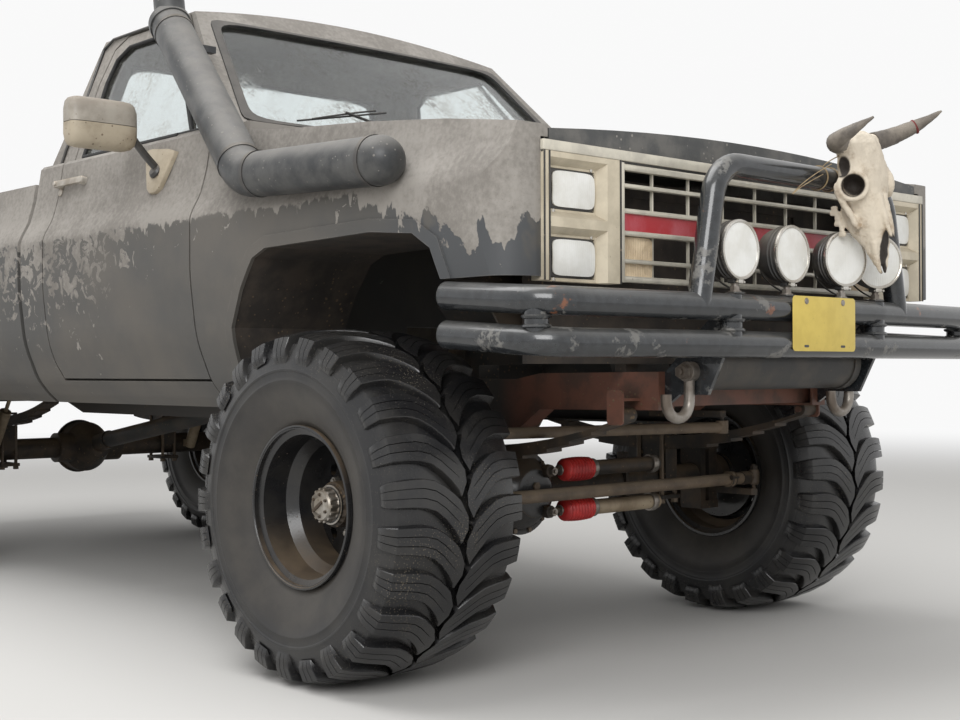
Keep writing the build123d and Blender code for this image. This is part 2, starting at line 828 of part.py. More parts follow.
# Tie rod with a ball joint at each arm and two clamps
clamp_places = [-552, 552]
with BuildPart() as tie_rod:
    add(rod_between((at(steer_arm), -kingpin_y + 30, tie_rod_z), (at(steer_arm), kingpin_y - 30, tie_rod_z),
                    tie_rod_radius))
    for side in (1, -1):
        with Locations((at(steer_arm), side * kingpin_y, tie_rod_z)):
            Cylinder(ball_radius, 2 * (ball_radius - running_gap))
        with Locations((at(steer_arm), side * (kingpin_y - 22), tie_rod_z)):
            Cylinder(13, 44, rotation=(90, 0, 0))
    for y in clamp_places:
        with Locations((at(steer_arm), y, tie_rod_z)):
            Cylinder(tie_rod_radius + 6, 26, rotation=(90, 0, 0))
save(tie_rod.part, "tie_rod")

pitman_station = 190.0
pitman_y = 205.0
drag_link_radius = 17.0
drag_right = (at(steer_arm), -kingpin_y + high_arm_out, high_arm_z)
drag_left = (at(pitman_station + steer_arm), pitman_y + high_arm_out, high_arm_z)
with BuildPart() as drag_link:
    add(rod_between(drag_right, drag_left, drag_link_radius))
    for end in (drag_right, drag_left):
        with Locations(end):
            Cylinder(ball_radius + 3, 2 * link_eye_half)
save(drag_link.part, "drag_link")

box_z = 800.0
pitman_z = high_arm_z + 32
pitman_shaft = 18.0
with BuildPart() as pitman_arm:
    with BuildSketch(Plane.XY.offset(pitman_z)):
        with BuildLine():
            Polyline(
                (at(pitman_station) - 10, pitman_y - 26),
                (at(pitman_station) - 26, pitman_y),
                (at(pitman_station) - 16, pitman_y + 26),
                (at(pitman_station + steer_arm) - 6, pitman_y + high_arm_out + 16),
                (at(pitman_station + steer_arm) + 16, pitman_y + high_arm_out),
                (at(pitman_station + steer_arm) + 6, pitman_y + high_arm_out - 16),
                (at(pitman_station) - 10, pitman_y - 26),
            )
        make_face()
    extrude(amount=20)
    with Locations((at(pitman_station), pitman_y, pitman_z)):
        Cylinder(pitman_shaft, box_z - pitman_z, align=(Align.CENTER, Align.CENTER, Align.MIN))
    with Locations((at(pitman_station + steer_arm), pitman_y + high_arm_out,
                    high_arm_z + link_eye_half + running_gap)):
        Cylinder(7, pitman_z - high_arm_z - link_eye_half, align=(Align.CENTER, Align.CENTER, Align.MIN))
save(pitman_arm.part, "pitman_arm")

with BuildPart() as steering_box:
    with Locations((at(pitman_station), pitman_y, box_z + 14)):
        Cylinder(48, 80)
    with Locations((at(pitman_station - 10), (pitman_y + rail_inner) / 2 + 3, box_z + 30)):
        Box(190, rail_inner - pitman_y + 6, 70)
    with BuildSketch(Plane.XY.offset(box_z - 30)):
        with Locations((at(pitman_station), pitman_y)):
            Circle(pitman_shaft + shaft_clearance)
    extrude(amount=40, mode=Mode.SUBTRACT)
    add(frame.part, mode=Mode.SUBTRACT)
save(steering_box.part, "steering_box")

# Steering dampers on the axle, columns: height, boot end Y
damper_radius = 24.0
boot_radius = 34.0
damper_station = 150.0
damper_places = [(axle_z + 66, 1), (axle_z - 58, -1)]
damper_boot_y = -200.0
damper_tail_y = 250.0
with BuildPart() as steering_dampers:
    for damper_z, level in damper_places:
        add(rod_between((at(damper_station), damper_boot_y + 130, damper_z),
                        (at(damper_station), damper_tail_y, damper_z), damper_radius))
        add(rod_between((at(damper_station), damper_boot_y, damper_z),
                        (at(damper_station), damper_boot_y + 130, damper_z), boot_radius))
        add(rod_between((at(damper_station), damper_boot_y - 60, damper_z),
                        (at(damper_station), damper_boot_y, damper_z), 10))
        with Locations((at(damper_station / 2 + 10), damper_tail_y - 30, damper_z)):
            Box(damper_station - 40, 14, 30)
    with Locations((at(30), damper_tail_y - 30, axle_z)):
        Box(40, 14, 200)
    add(front_axle.part, mode=Mode.SUBTRACT)
save(steering_dampers.part, "steering_dampers")

# Wheels: steel rim with a deep dish and its hub
rim_half = 185.0
rim_lip = 225.0
bead_radius = 209.0
drop_radius = 182.0
rim_wall = 9.0
disc_offset = -40.0
hub_radius = 66.0
hub_cap_end = 112.0
rotor_radius = 158.0
rim_hole_radius = 17.0
rim_hole_circle = 128.0
rim_hole_count = 8

# Rim profile, columns: offset outwards from the wheel's centre, radius of the outside face
rim_profile = [
    (-rim_half, rim_lip),
    (-rim_half + 14, rim_lip),
    (-rim_half + 20, bead_radius),
    (-120, bead_radius - 4),
    (-96, drop_radius),
    (60, drop_radius),
    (90, bead_radius - 4),
    (rim_half - 20, bead_radius),
    (rim_half - 14, rim_lip),
    (rim_half, rim_lip),
]


def wheel(station, side, driven_front):
    """Steel wheel with its hub and brake, on the spindle or the axle tube's end."""
    centre_y = side * half_track
    outside = [(at(station) + r, centre_y + side * y) for y, r in rim_profile]
    inside = [(at(station) + r - rim_wall, centre_y + side * y) for y, r in reversed(rim_profile)]
    bore = spindle_radius + shaft_clearance if driven_front else rear_tube + shaft_clearance
    bore_end = spindle_end - half_track + 1 if driven_front else -144
    hub_back = -145.0 if driven_front else -190.0
    hub_profile = [
        (0, hub_cap_end),
        (34, hub_cap_end),
        (38, 84),
        (56, 78),
        (60, 20),
        (hub_radius, 10),
        (drop_radius - 4, disc_offset + 26),
        (drop_radius - 4, disc_offset + 12),
        (88, disc_offset),
        (88, -96),
        (rotor_radius, -100),
        (rotor_radius, -128),
        (74, -132),
        (74, hub_back),
        (0, hub_back),
    ]
    with BuildPart() as rim:
        with BuildSketch(Plane.XY.offset(axle_z)):
            Polygon(*(outside + inside), align=None)
            Polygon(*[(at(station) + r, centre_y + side * y) for r, y in hub_profile], align=None)
        revolve(axis=Axis((at(station), centre_y, axle_z), (0, 1, 0)))
        with BuildSketch(Plane.XZ.offset(-centre_y - side * (hub_back - 1))):
            with Locations((at(station), axle_z)):
                Circle(bore)
        extrude(amount=-side * (bore_end - hub_back + 1), mode=Mode.SUBTRACT)
        with BuildSketch(Plane.XZ.offset(-centre_y - side * (disc_offset - 30))):
            with Locations((at(station), axle_z)):
                with PolarLocations(rim_hole_circle, rim_hole_count):
                    Circle(rim_hole_radius)
        extrude(amount=-side * 90, mode=Mode.SUBTRACT)
    return rim.part


wheel_places = [
    ("front_right", 0.0, -1),
    ("front_left", 0.0, 1),
    ("rear_right", rear_axle_station, -1),
    ("rear_left", rear_axle_station, 1),
]

# Mud tyre with one flat of its carcass for each lug of a side
lug_count = 25
lug_pitch = 360 / lug_count
void_floor = 466.0
tyre_flank = 415.0
lug_width = 69.0
lug_root_width = 88.0
lug_sweep = 10.0
lug_root_offset = 6.0
lug_shoulder = 214.0
lug_shoulder_radius = 472.0

# A lug's top is flat, and the corner that reaches furthest along the tread is at the tyre's radius
lug_corner = lug_root_width / 2 + lug_sweep
lug_tip = sqrt(tyre_radius**2 - lug_corner**2)

# Carcass section, columns: offset outwards, radius
carcass_section = [
    (rim_half - 21.5, bead_radius + running_gap),
    (212, 318),
    (tyre_width / 2, tyre_flank),
    (200, void_floor),
]

# Lug section, columns: offset outwards, radius; its lower edge lies inside the carcass
lug_section = [
    (lug_root_offset, void_floor - 20),
    (lug_root_offset, lug_tip),
    (lug_shoulder, lug_shoulder_radius),
    (lug_shoulder + 6, tyre_flank - 15),
    (150, tyre_flank - 15),
]

# Lug seen from above the tread, columns: offset outwards, distance along the tread
lug_plan = [
    (lug_root_offset - 1, lug_sweep - lug_root_width / 2),
    (tyre_width / 2 + 1, -lug_width / 2),
    (tyre_width / 2 + 1, lug_width / 2),
    (lug_root_offset - 1, lug_corner),
]

with BuildPart() as carcass_flat:
    with BuildSketch(Plane.XZ):
        outer_half = [(r, y) for y, r in carcass_section]
        inner_half = [(r, -y) for y, r in reversed(carcass_section)]
        Polygon(*(outer_half + inner_half), align=None)
    flat_half = tyre_radius * tan(radians(lug_pitch / 2))
    extrude(amount=flat_half, both=True)
    with BuildSketch(Plane.XY):
        Polygon((0, 0), (tyre_radius, -flat_half), (tyre_radius, flat_half), align=None)
    extrude(amount=tyre_width, both=True, mode=Mode.INTERSECT)

with BuildPart() as lug:
    with BuildSketch(Plane.XZ):
        Polygon(*[(r, y) for y, r in lug_section], align=None)
    extrude(amount=lug_root_width, both=True)
    with BuildSketch(Plane.YZ):
        Polygon(*[(along, y) for y, along in lug_plan], align=None)
    extrude(amount=tyre_radius + 1, mode=Mode.INTERSECT)

with BuildPart() as mud_tyre:
    with PolarLocations(0, lug_count):
        add(carcass_flat.part)
    with PolarLocations(0, lug_count):
        add(lug.part)
    with PolarLocations(0, lug_count, start_angle=lug_pitch / 2):
        add(mirror(lug.part, about=Plane.XY, mode=Mode.PRIVATE))


# Turned about its axis so that the corner of a lug stands on the ground
stand_turn = -90 - degrees(atan2(lug_corner, lug_tip))


def tyre(station, side):
    """The mud tyre on its rim, its axis turned from Z to Y."""
    seat = Location((at(station), side * half_track, axle_z), (90, 0, 0))
    return seat * Rotation(0, 0, stand_turn) * mud_tyre.part


for place, station, side in wheel_places:
    save(wheel(station, side, station == 0.0), "wheel_" + place)
    save(tyre(station, side), "tyre_" + place)

# Body panels
door_gap = 8.0
door_skin = 24.0
door_inset = 22.0
door_bottom = 92.0
door_inner_y = 866.0
frame_lean = (belt_half_width - roof_edge_half_width) / (roof_edge_height - belt_height)
pillar_foot = (-745.0, belt_height)
door_top = 1372.0
pillar_top = (-1160.0, door_top)
window_frame = 42.0
window_bottom = 914.0

# Door outline seen from the side, columns: station, height above the rocker
door_outline = [
    (door_front - door_gap / 2, door_bottom),
    (door_front - door_gap / 2, sill_height),
    pillar_foot,
    pillar_top,
    (-1590.0, door_top),
    (-1672.0, door_top - 40),
    (door_rear + door_gap / 2 - 2, door_top - 170),
    (door_rear + door_gap / 2, sill_height),
    (door_rear + door_gap / 2, door_bottom + 60),
    (door_rear + door_gap / 2 + 22, door_bottom),
]
window_outline = [
    (pillar_foot[0] - 74, window_bottom),
    (pillar_top[0] - 22, door_top - window_frame),
    (-1568.0, door_top - window_frame),
    (-1640.0, door_top - 82),
    (-1668.0, door_top - 170),
    (-1668.0, window_bottom),
]
vent_station = (-905.0, -1235.0)


def glass_plane_y(height, inset):
    """Half width of the window plane at a height, moved inwards."""
    return belt_half_width - (height - belt_height) * frame_lean - inset


def upper_slab(front, rear, low, high, outer_inset, inner_inset):
    """Left-hand slab of the leaning window plane."""
    with BuildPart() as slab:
        with BuildSketch(Plane.YZ.offset(at(rear))):
            Polygon(
                (glass_plane_y(low, inner_inset), up(low)),
                (glass_plane_y(low, outer_inset), up(low)),
                (glass_plane_y(high, outer_inset), up(high)),
                (glass_plane_y(high, inner_inset), up(high)),
                align=None,
            )
        extrude(amount=front - rear)
    return slab.part


def shoulder_slab(front, rear, inner_y):
    """Sill of the window: from the skin line in to the leaning plane."""
    with BuildPart() as slab:
        with BuildSketch(Plane.YZ.offset(at(rear))):
            Polygon(
                (inner_y, up(sill_height)),
                (sill_half_width, up(sill_height)),
                (sill_half_width - 12, up(belt_height - 3)),
                (belt_half_width, up(belt_height)),
                (glass_plane_y(window_bottom, 0), up(window_bottom)),
                (inner_y - 44, up(window_bottom)),
                align=None,
            )
        extrude(amount=front - rear)
    return slab.part


frame_inset = 44.0

# Door hinges: a pin on a short arm from the cab's pillar, in a pocket of the door
hinge_levels = [440.0, 568.0]
hinge_height = 28.0
hinge_axis = (door_front - door_gap / 2 - 30.0, 996.0)
hinge_pin = 6.0
hinge_skin = 5.0
swing_room = 16.0


def hinge_pocket():
    """Room in the left door for the two hinge arms and the bores for their pins."""
    with BuildPart() as pocket:
        for level in hinge_levels:
            with Locations((at(hinge_axis[0] - 14), 1008 - hinge_skin, up(level - 3))):
                Box(60, 90, hinge_height + 6, align=(Align.MIN, Align.MAX, Align.MIN))
            with Locations((at(hinge_axis[0]), hinge_axis[1], up(level - 17))):
                Cylinder(hinge_pin + shaft_clearance, hinge_height + 34,
                         align=(Align.CENTER, Align.CENTER, Align.MIN))
    return pocket.part


def hinge_arms():
    """Left-hand hinge arms with their pins, as they stand on the cab's pillar."""
    root = (door_front - 9, 944.0)
    with BuildPart() as arms:
        for level in hinge_levels:
            with BuildSketch(Plane.XY.offset(up(level))):
                Polygon(
                    (at(root[0] + 3), root[1] - 8),
                    (at(root[0] + 3), root[1] + 12),
                    (at(hinge_axis[0] + 4), hinge_axis[1] + 4),
                    (at(hinge_axis[0] - 5), hinge_axis[1] - 3),
                    (at(root[0] - 10), root[1] - 8),
                    align=None,
                )
            extrude(amount=hinge_height)
            with Locations((at(hinge_axis[0]), hinge_axis[1], up(level - 16))):
                Cylinder(hinge_pin, hinge_height + 32, align=(Align.CENTER, Align.CENTER, Align.MIN))
    return arms.part


# Rebate round the inside of the left door, where it closes on the cab's stop
with BuildPart() as door_rebate:
    add(side_slab(door_front, door_rear, door_bottom - 5, sill_height, 700.0, door_skin))
    add(upper_slab(0, door_rear, sill_height, door_top + 5, door_skin, 300))
    add(side_prism(door_outline, -door_inset), mode=Mode.SUBTRACT)

# Slanted bar between the vent pane and the door window
with BuildPart() as vent_bar:
    add(upper_slab(pillar_foot[0], door_rear, window_bottom - 4, door_top - 30, 8, 24))
    add(side_prism([
        (vent_station[0] + 9, window_bottom - 4),
        (vent_station[1] + 9, door_top - 30),
        (vent_station[1] - 9, door_top - 30),
        (vent_station[0] - 9, window_bottom - 4),
    ]), mode=Mode.INTERSECT)

with BuildPart() as door_left:
    add(side_slab(door_front, door_rear, door_bottom, sill_height, door_inner_y))
    add(shoulder_slab(door_front, door_rear, door_inner_y))
    add(upper_slab(pillar_foot[0], door_rear, belt_height, door_top, 0, frame_inset))
    add(side_prism(door_outline), mode=Mode.INTERSECT)
    add(door_rebate.part, mode=Mode.SUBTRACT)
    add(side_prism(window_outline), mode=Mode.SUBTRACT)
    add(hinge_pocket(), mode=Mode.SUBTRACT)
    add(vent_bar.part)
save(door_left.part, "door_left")

with BuildPart() as door_right:
    add(door_left.part.mirror(Plane.XZ))
save(door_right.part, "door_right")

with BuildPart() as door_glass_left:
    add(upper_slab(pillar_foot[0], door_rear, window_bottom, door_top, 14, 19))
    add(side_prism(window_outline), mode=Mode.INTERSECT)
    add(vent_bar.part, mode=Mode.SUBTRACT)
save(door_glass_left.part, "door_glass_left")

with BuildPart() as door_glass_right:
    add(door_glass_left.part.mirror(Plane.XZ))
save(door_glass_right.part, "door_glass_right")

# Door mirrors: base plate, arm and head
mirror_station = -975.0
mirror_y = 1165.0
mirror_height = 915.0
mirror_size = (96.0, 236.0, 160.0)
mirror_foot = (-925.0, 770.0)
with BuildPart() as mirror_left:
    with BuildSketch(Plane.YZ.offset(at(mirror_station - mirror_size[0] / 2))):
        with Locations((mirror_y, up(mirror_height))):
            RectangleRounded(mirror_size[1], mirror_size[2], 42)
    extrude(amount=mirror_size[0] * 0.45)
    with BuildSketch(Plane.YZ.offset(at(mirror_station - mirror_size[0] * 0.05))):
        with Locations((mirror_y, up(mirror_height))):
            RectangleRounded(mirror_size[1], mirror_size[2], 42)
    extrude(amount=mirror_size[0] * 0.45, taper=34)
    foot_y = half_width(mirror_foot[1])
    add(tube_path(
        [
            (at(mirror_foot[0]), foot_y - 2, up(mirror_foot[1])),
            (at(mirror_foot[0] - 6), foot_y + 70, up(mirror_foot[1] + 92)),
            (at(mirror_station), mirror_y - mirror_size[1] / 2 + 12, up(mirror_height - 20)),
        ],
        (30,),
        15,
    ))
    with BuildSketch(Plane.XZ.offset(-foot_y - 14)):
        with Locations((at(mirror_foot[0]), up(mirror_foot[1]))):
            RectangleRounded(70, 126, 26)
    extrude(amount=60)
    add(side_slab(door_front, door_rear, door_bottom, sill_height, 600.0), mode=Mode.SUBTRACT)
save(mirror_left.part, "mirror_left")

with BuildPart() as mirror_right:
    add(mirror_left.part.mirror(Plane.XZ))
save(mirror_right.part, "mirror_right")

# Hood hinge line, just behind the hood's rear edge
hood_rear = -596.0
hood_axis = -606.0
hood_hinge_y = 300.0
hood_hinge_height = 872.0
hood_lug_width = 22.0
hood_lug_radius = 9.0
hood_lug_length = 38.0
hood_cheek = 10.0
hood_cheek_y = 17.0
hood_notch = 16.0

# Cab shell: tub, pillars and roof round the openings
cowl_station = -620.0
cab_wall = 60.0
roof_wall = 34.0
windshield_foot = -640.0
windshield_top = -1078.0
windshield_bow = 46.0
windshield_foot_height = 905.0
windshield_top_height = 1352.0
back_foot = -1901.0
back_top = -1795.0
floor_thick = 30.0
cowl_inset = 14.0
cowl_side_top = 864.0
cowl_half = 852.0
tunnel_half = 210.0
tunnel_top = 300.0
tunnel_rear = -1260.0
dash_station = -700.0


def greenhouse(inset, roof_drop, foot):
    """Space under the roof: the window planes, a crowned roof, raked front and back."""
    lift = (windshield_top - windshield_foot) / (windshield_top_height - windshield_foot_height)
    top = roof_edge_height + roof_crown - roof_drop
    rise = top + 40 - foot
    with BuildPart() as house:
        with BuildSketch(Plane.YZ.offset(at(cab_rear - 60))):
            with BuildLine():
                Polyline(
                    (-glass_plane_y(foot, inset), up(foot)),
                    (glass_plane_y(foot, inset), up(foot)),
                    (glass_plane_y(roof_edge_height - roof_drop, inset), up(roof_edge_height - roof_drop)),
                )
                ThreePointArc(
                    (glass_plane_y(roof_edge_height - roof_drop, inset), up(roof_edge_height - roof_drop)),
                    (0, up(top)),
                    (-glass_plane_y(roof_edge_height - roof_drop, inset), up(roof_edge_height - roof_drop)),
                )
                Line(
                    (-glass_plane_y(roof_edge_height - roof_drop, inset), up(roof_edge_height - roof_drop)),
                    (-glass_plane_y(foot, inset), up(foot)),
                )
            make_face()
        extrude(amount=1500)
        front = windshield_foot + (foot - windshield_foot_height) * lift - inset
        with BuildSketch(Plane.XY.offset(up(foot))) as plan:
            with BuildLine():
                ThreePointArc(
                    (at(front - windshield_bow), -1000),
                    (at(front), 0),
                    (at(front - windshield_bow), 1000),
                )
                Polyline(
                    (at(front - windshield_bow), 1000),
                    (at(-3600), 1000),
                    (at(-3600), -1000),
                    (at(front - windshield_bow), -1000),
                )
            make_face()
        slant = Vector(lift * rise, 0, rise)
        extrude(amount=slant.length, dir=slant, mode=Mode.INTERSECT)
        with BuildSketch(Plane.XZ.offset(-1100)):
            Polygon(
                (at(back_foot + inset), up(foot)),
                (at(back_foot + inset), up(window_bottom)),
                (at(back_top + inset), up(roof_edge_height - 40)),
                (at(back_top + inset + 60), up(top + 60)),
                (at(0), up(top + 60)),
                (at(0), up(foot)),
                align=None,
            )
        extrude(amount=2200, mode=Mode.INTERSECT)
    return house.part


# Stop round each door opening, where the door's rebate closes
with BuildPart() as door_stop:
    add(side_slab(door_front + 60, hinge_axis[0] - door_gap, -5, sill_height, 600.0,
                  door_skin + door_gap + swing_room))
    add(side_slab(hinge_axis[0] - door_gap, door_rear - 60, -5, sill_height, 600.0, door_skin + door_gap))
    add(upper_slab(0, door_rear - 60, sill_height, door_top + 60, door_skin + door_gap, 300))

with BuildPart() as door_opening:
    add(side_prism(door_outline, door_gap))
    add(door_stop.part, mode=Mode.SUBTRACT)
    add(side_prism(door_outline, -door_gap))
    mirror(about=Plane.XZ)

# Windshield and rear window openings, as (half width, height) at the foot and the top
windshield_opening = [(790, 934), (668, 1352)]
rear_window_opening = [(700, 960), (610, 1310)]

with BuildPart() as window_holes:
    for opening, start, reach in (
        (windshield_opening, -400, -900),
        (rear_window_opening, back_foot - 60, 300),
    ):
        (foot_half, foot), (top_half, top) = opening
        with BuildSketch(Plane.YZ.offset(at(start))):
            Polygon(
                (-foot_half, up(foot)),
                (foot_half, up(foot)),
                (top_half, up(top)),
                (-top_half, up(top)),
                align=None,
            )
        extrude(amount=reach)

# Room inside the cab, over a floor with its gearbox tunnel
with BuildPart() as cab_room:
    with BuildSketch(Plane.XZ.offset(-door_inner_y + 26)):
        Polygon(
            (at(cowl_station - cab_wall), up(120 + floor_thick)),
            (at(cowl_station - cab_wall), up(840)),
            (at(windshield_foot - 80), up(870)),
            (at(windshield_foot - 80), up(belt_height + 20)),
            (at(cab_rear + cab_wall), up(belt_height + 20)),
            (at(cab_rear + cab_wall), up(120 + floor_thick)),
            align=None,
        )
    extrude(amount=2 * (door_inner_y - 26))
    with Locations((at(tunnel_rear), 0, up(0))):
        Box(cowl_station - tunnel_rear, 2 * tunnel_half, tunnel_top, mode=Mode.SUBTRACT,
            align=(Align.MIN, Align.CENTER, Align.MIN))
    add(greenhouse(52, roof_wall, belt_height))

with BuildPart() as cab_shell:
    add(side_slab(cowl_station, door_front, 0, cowl_side_top, 0.0, cowl_inset))
    with Locations((at(door_front), 0, up(cowl_side_top))):
        Box(cowl_station - door_front, cowl_half, sill_height - cowl_side_top,
            align=(Align.MIN, Align.MIN, Align.MIN))
    add(side_slab(door_front, cab_rear, 0, sill_height, 0.0))
    add(shoulder_slab(door_front, cab_rear, 0.0))
    mirror(about=Plane.XZ)
    with Locations((at((cowl_station + cab_rear) / 2), 0, up(window_bottom - 10))):
        Box(cowl_station - cab_rear, 2 * 830, 30)
    add(greenhouse(0, 0, belt_height))
    add(cab_room.part, mode=Mode.SUBTRACT)
    with Locations((at((cowl_station + cab_rear) / 2), 0, up(50))):
        Box(cowl_station - cab_rear + 10, 2 * 760, 140, mode=Mode.SUBTRACT)
    with Locations((at(tunnel_rear + floor_thick), 0, up(-20))):
        Box(cowl_station - tunnel_rear, 2 * (tunnel_half - floor_thick), tunnel_top - floor_thick + 20,
            mode=Mode.SUBTRACT, align=(Align.MIN, Align.CENTER, Align.MIN))
    add(door_opening.part, mode=Mode.SUBTRACT)
    add(window_holes.part, mode=Mode.SUBTRACT)
    add(hinge_arms())
    add(hinge_arms().mirror(Plane.XZ))
    for side in (1, -1):
        for cheek in (1, -1):
            with Locations((at(cowl_station - 4), side * hood_hinge_y + cheek * hood_cheek_y,
                            up(hood_hinge_height))):
                Box(hood_axis - cowl_station + 10, hood_cheek, 2 * hood_lug_radius,
                    align=(Align.MIN, Align.CENTER, Align.CENTER))
        with Locations((at(hood_axis), side * hood_hinge_y, up(hood_hinge_height))):
            Cylinder(hinge_pin, 2 * (hood_cheek_y + 1), rotation=(90, 0, 0))
save(cab_shell.part, "cab_shell")

# Windshield and rear window
with BuildPart() as cab_glass:
    add(greenhouse(14, 8, belt_height))
    add(greenhouse(20, 8, belt_height), mode=Mode.SUBTRACT)
    add(window_holes.part, mode=Mode.INTERSECT)
save(cab_glass.part, "cab_glass")

# Dashboard with the steering column
column_angle = 32.0
wheel_centre = (at(-1015), 370.0, up(742))
steer_rim_radius = 190.0
steer_rim_thick = 14.0
column_radius = 32.0
column_shaft = 11.0
column_axis = Vector(-cos(radians(column_angle)), 0, sin(radians(column_angle)))
with BuildPart() as dashboard:
    with BuildSketch(Plane.XZ.offset(-(door_inner_y - 40))):
        Polygon(
            (at(cowl_station - cab_wall - running_gap), up(600)),
            (at(cowl_station - cab_wall - running_gap), up(838)),
            (at(dash_station - 60), up(868)),
            (at(dash_station - 150), up(852)),
            (at(dash_station - 190), up(800)),
            (at(dash_station - 140), up(600)),
            align=None,
        )
    extrude(amount=2 * (door_inner_y - 40))
    add(rod_between(Vector(*wheel_centre) - column_axis * 300, Vector(*wheel_centre) - column_axis * 46,
                    column_radius))
    add(rod_between(Vector(*wheel_centre) - column_axis * 120, Vector(*wheel_centre), column_shaft
                    + shaft_clearance), mode=Mode.SUBTRACT)
save(dashboard.part, "dashboard")

with BuildPart() as steering_wheel:
    with BuildSketch(Plane(origin=wheel_centre, z_dir=column_axis, x_dir=(0, 1, 0))):
        Circle(steer_rim_radius)
        Circle(steer_rim_radius - 2 * steer_rim_thick, mode=Mode.SUBTRACT)
    extrude(amount=steer_rim_thick, both=True)
    with BuildSketch(Plane(origin=wheel_centre, z_dir=column_axis, x_dir=(0, 1, 0)).offset(-14)):
        Circle(46)
        Rectangle(2 * steer_rim_radius - 30, 36)
    extrude(amount=18)
    add(rod_between(Vector(*wheel_centre) - column_axis * 110, Vector(*wheel_centre), column_shaft))
save(steering_wheel.part, "steering_wheel")

# Bench seat
seat_half = 640.0
seat_front = -1195.0
with BuildPart() as bench_seat:
    with BuildSketch(Plane.XZ.offset(-seat_half)):
        Polygon(
            (at(seat_front), up(120 + floor_thick)),
            (at(seat_front + 20), up(440)),
            (at(seat_front - 30), up(490)),
            (at(seat_front - 400), up(462)),
            (at(seat_front - 500), up(960)),
            (at(seat_front - 590), up(960)),
            (at(seat_front - 560), up(120 + floor_thick)),
            align=None,
        )
    extrude(amount=2 * seat_half)
save(bench_seat.part, "bench_seat")

# Hood: crowned skin with a front lip, columns: station, side height, centre height
hood_half = 857.0
hood_lines = [
    (fender_front, 718, 760),
    (452, 762, 806),
    (118, 798, 846),
    (-263, 828, 872),
    (hood_rear, 852, 886),
]
hood_skin = 14.0
hood_lip_bottom = 688.0
with BuildPart() as hood:
    for station, side_height, centre_height in hood_lines:
        with BuildSketch(Plane.YZ.offset(at(station))):
            with BuildLine():
                ThreePointArc(
                    (-hood_half, up(side_height)),
                    (0, up(centre_height)),
                    (hood_half, up(side_height)),
                )
                Line((hood_half, up(side_height)), (hood_half, up(side_height - hood_skin)))
                ThreePointArc(
                    (hood_half, up(side_height - hood_skin)),
                    (0, up(centre_height - hood_skin)),
                    (-hood_half, up(side_height - hood_skin)),
                )
                Line((-hood_half, up(side_height - hood_skin)), (-hood_half, up(side_height)))
            make_face()
    loft(ruled=True)
    with BuildSketch(Plane.YZ.offset(at(fender_front))):
        with BuildLine():
            ThreePointArc(
                (-hood_half, up(hood_lines[0][1])),
                (0, up(hood_lines[0][2])),
                (hood_half, up(hood_lines[0][1])),
            )
            Polyline(
                (hood_half, up(hood_lines[0][1])),
                (hood_half, up(hood_lip_bottom)),
                (-hood_half, up(hood_lip_bottom)),
                (-hood_half, up(hood_lines[0][1])),
            )
        make_face()
    extrude(amount=-hood_skin)
    for side in (1, -1):
        with Locations((at(hood_rear), side * hood_hinge_y, up(hood_hinge_height))):
            Box(2 * hood_notch, 2 * (hood_cheek_y + hood_cheek), 60, mode=Mode.SUBTRACT)
        with Locations((at(hood_axis), side * hood_hinge_y, up(hood_hinge_height))):
            Box(hood_lug_length, hood_lug_width, 16, align=(Align.MIN, Align.CENTER, Align.CENTER))
            Cylinder(hood_lug_radius, hood_lug_width, rotation=(90, 0, 0))
            Cylinder(hinge_pin + shaft_clearance, hood_lug_width + 2, rotation=(90, 0, 0), mode=Mode.SUBTRACT)
save(hood.part, "hood")

# Front fenders with their cut-out arches, columns: station, height
hood_gap = 5.0
bumper_cut_top = 349.0
arch_line = [
    (-550, 0),
    (-504, 70),
    (-478, 249),
    (-412, 361),
    (-338, 452),
    (-270, 478),
    (222, 488),
    (400, 472),
    (470, 430),
    (536, 265),
    (617, 153),
    (640, 108),
]
arch_void = [(arch_line[0][0], -200)] + arch_line[:-1] + [(617, -200)]
fender_rear = door_front + door_gap / 2
fender_bottom_front = 104.0
fender_top_line = [(fender_front, 726), (452, 770), (118, 806), (-263, 836), (fender_rear, 884)]
corner_radius = 105.0
# A little outside the widest line, so that the corner's arc meets the skin at an angle
corner_reach = 1008.5
fender_outline = (
    [(fender_rear, 0)]
    + arch_line
    + [(fender_front, fender_bottom_front)]
    + fender_top_line
)
fender_room = (
    [(fender_rear - 5, -5), (fender_front + 5, -5)]
    + [(s, h - skin) for s, h in fender_top_line[:-1]]
    + [(fender_rear - 5, 884 - skin)]
)


def corner_plan(inset):
    """Plan of the left fender with its rounded front corner."""
    front = at(fender_front - inset)
    side = 1300.0
    corner_y = corner_reach - inset
    radius = corner_radius - inset
    with BuildPart() as plan:
        with BuildSketch(Plane.XY.offset(up(-50))):
            with BuildLine():
                Polyline(
                    (front, corner_y - radius),
                    (front, 0),
                    (at(-800), 0),
                    (at(-800), side),
                    (front - radius, side),
                    (front - radius, corner_y),
                )
                ThreePointArc(
                    (front - radius, corner_y),
                    (front - radius + radius * cos(radians(45)), corner_y - radius + radius * sin(radians(45))),
                    (front, corner_y - radius),
                )
            make_face()
        extrude(amount=1100)
    return plan.part


with BuildPart() as fender_inside:
    add(side_slab(fender_front + 10, fender_rear - 10, 0, sill_height, 500.0, skin))
    add(side_prism(fender_room), mode=Mode.INTERSECT)
    add(corner_plan(skin), mode=Mode.INTERSECT)

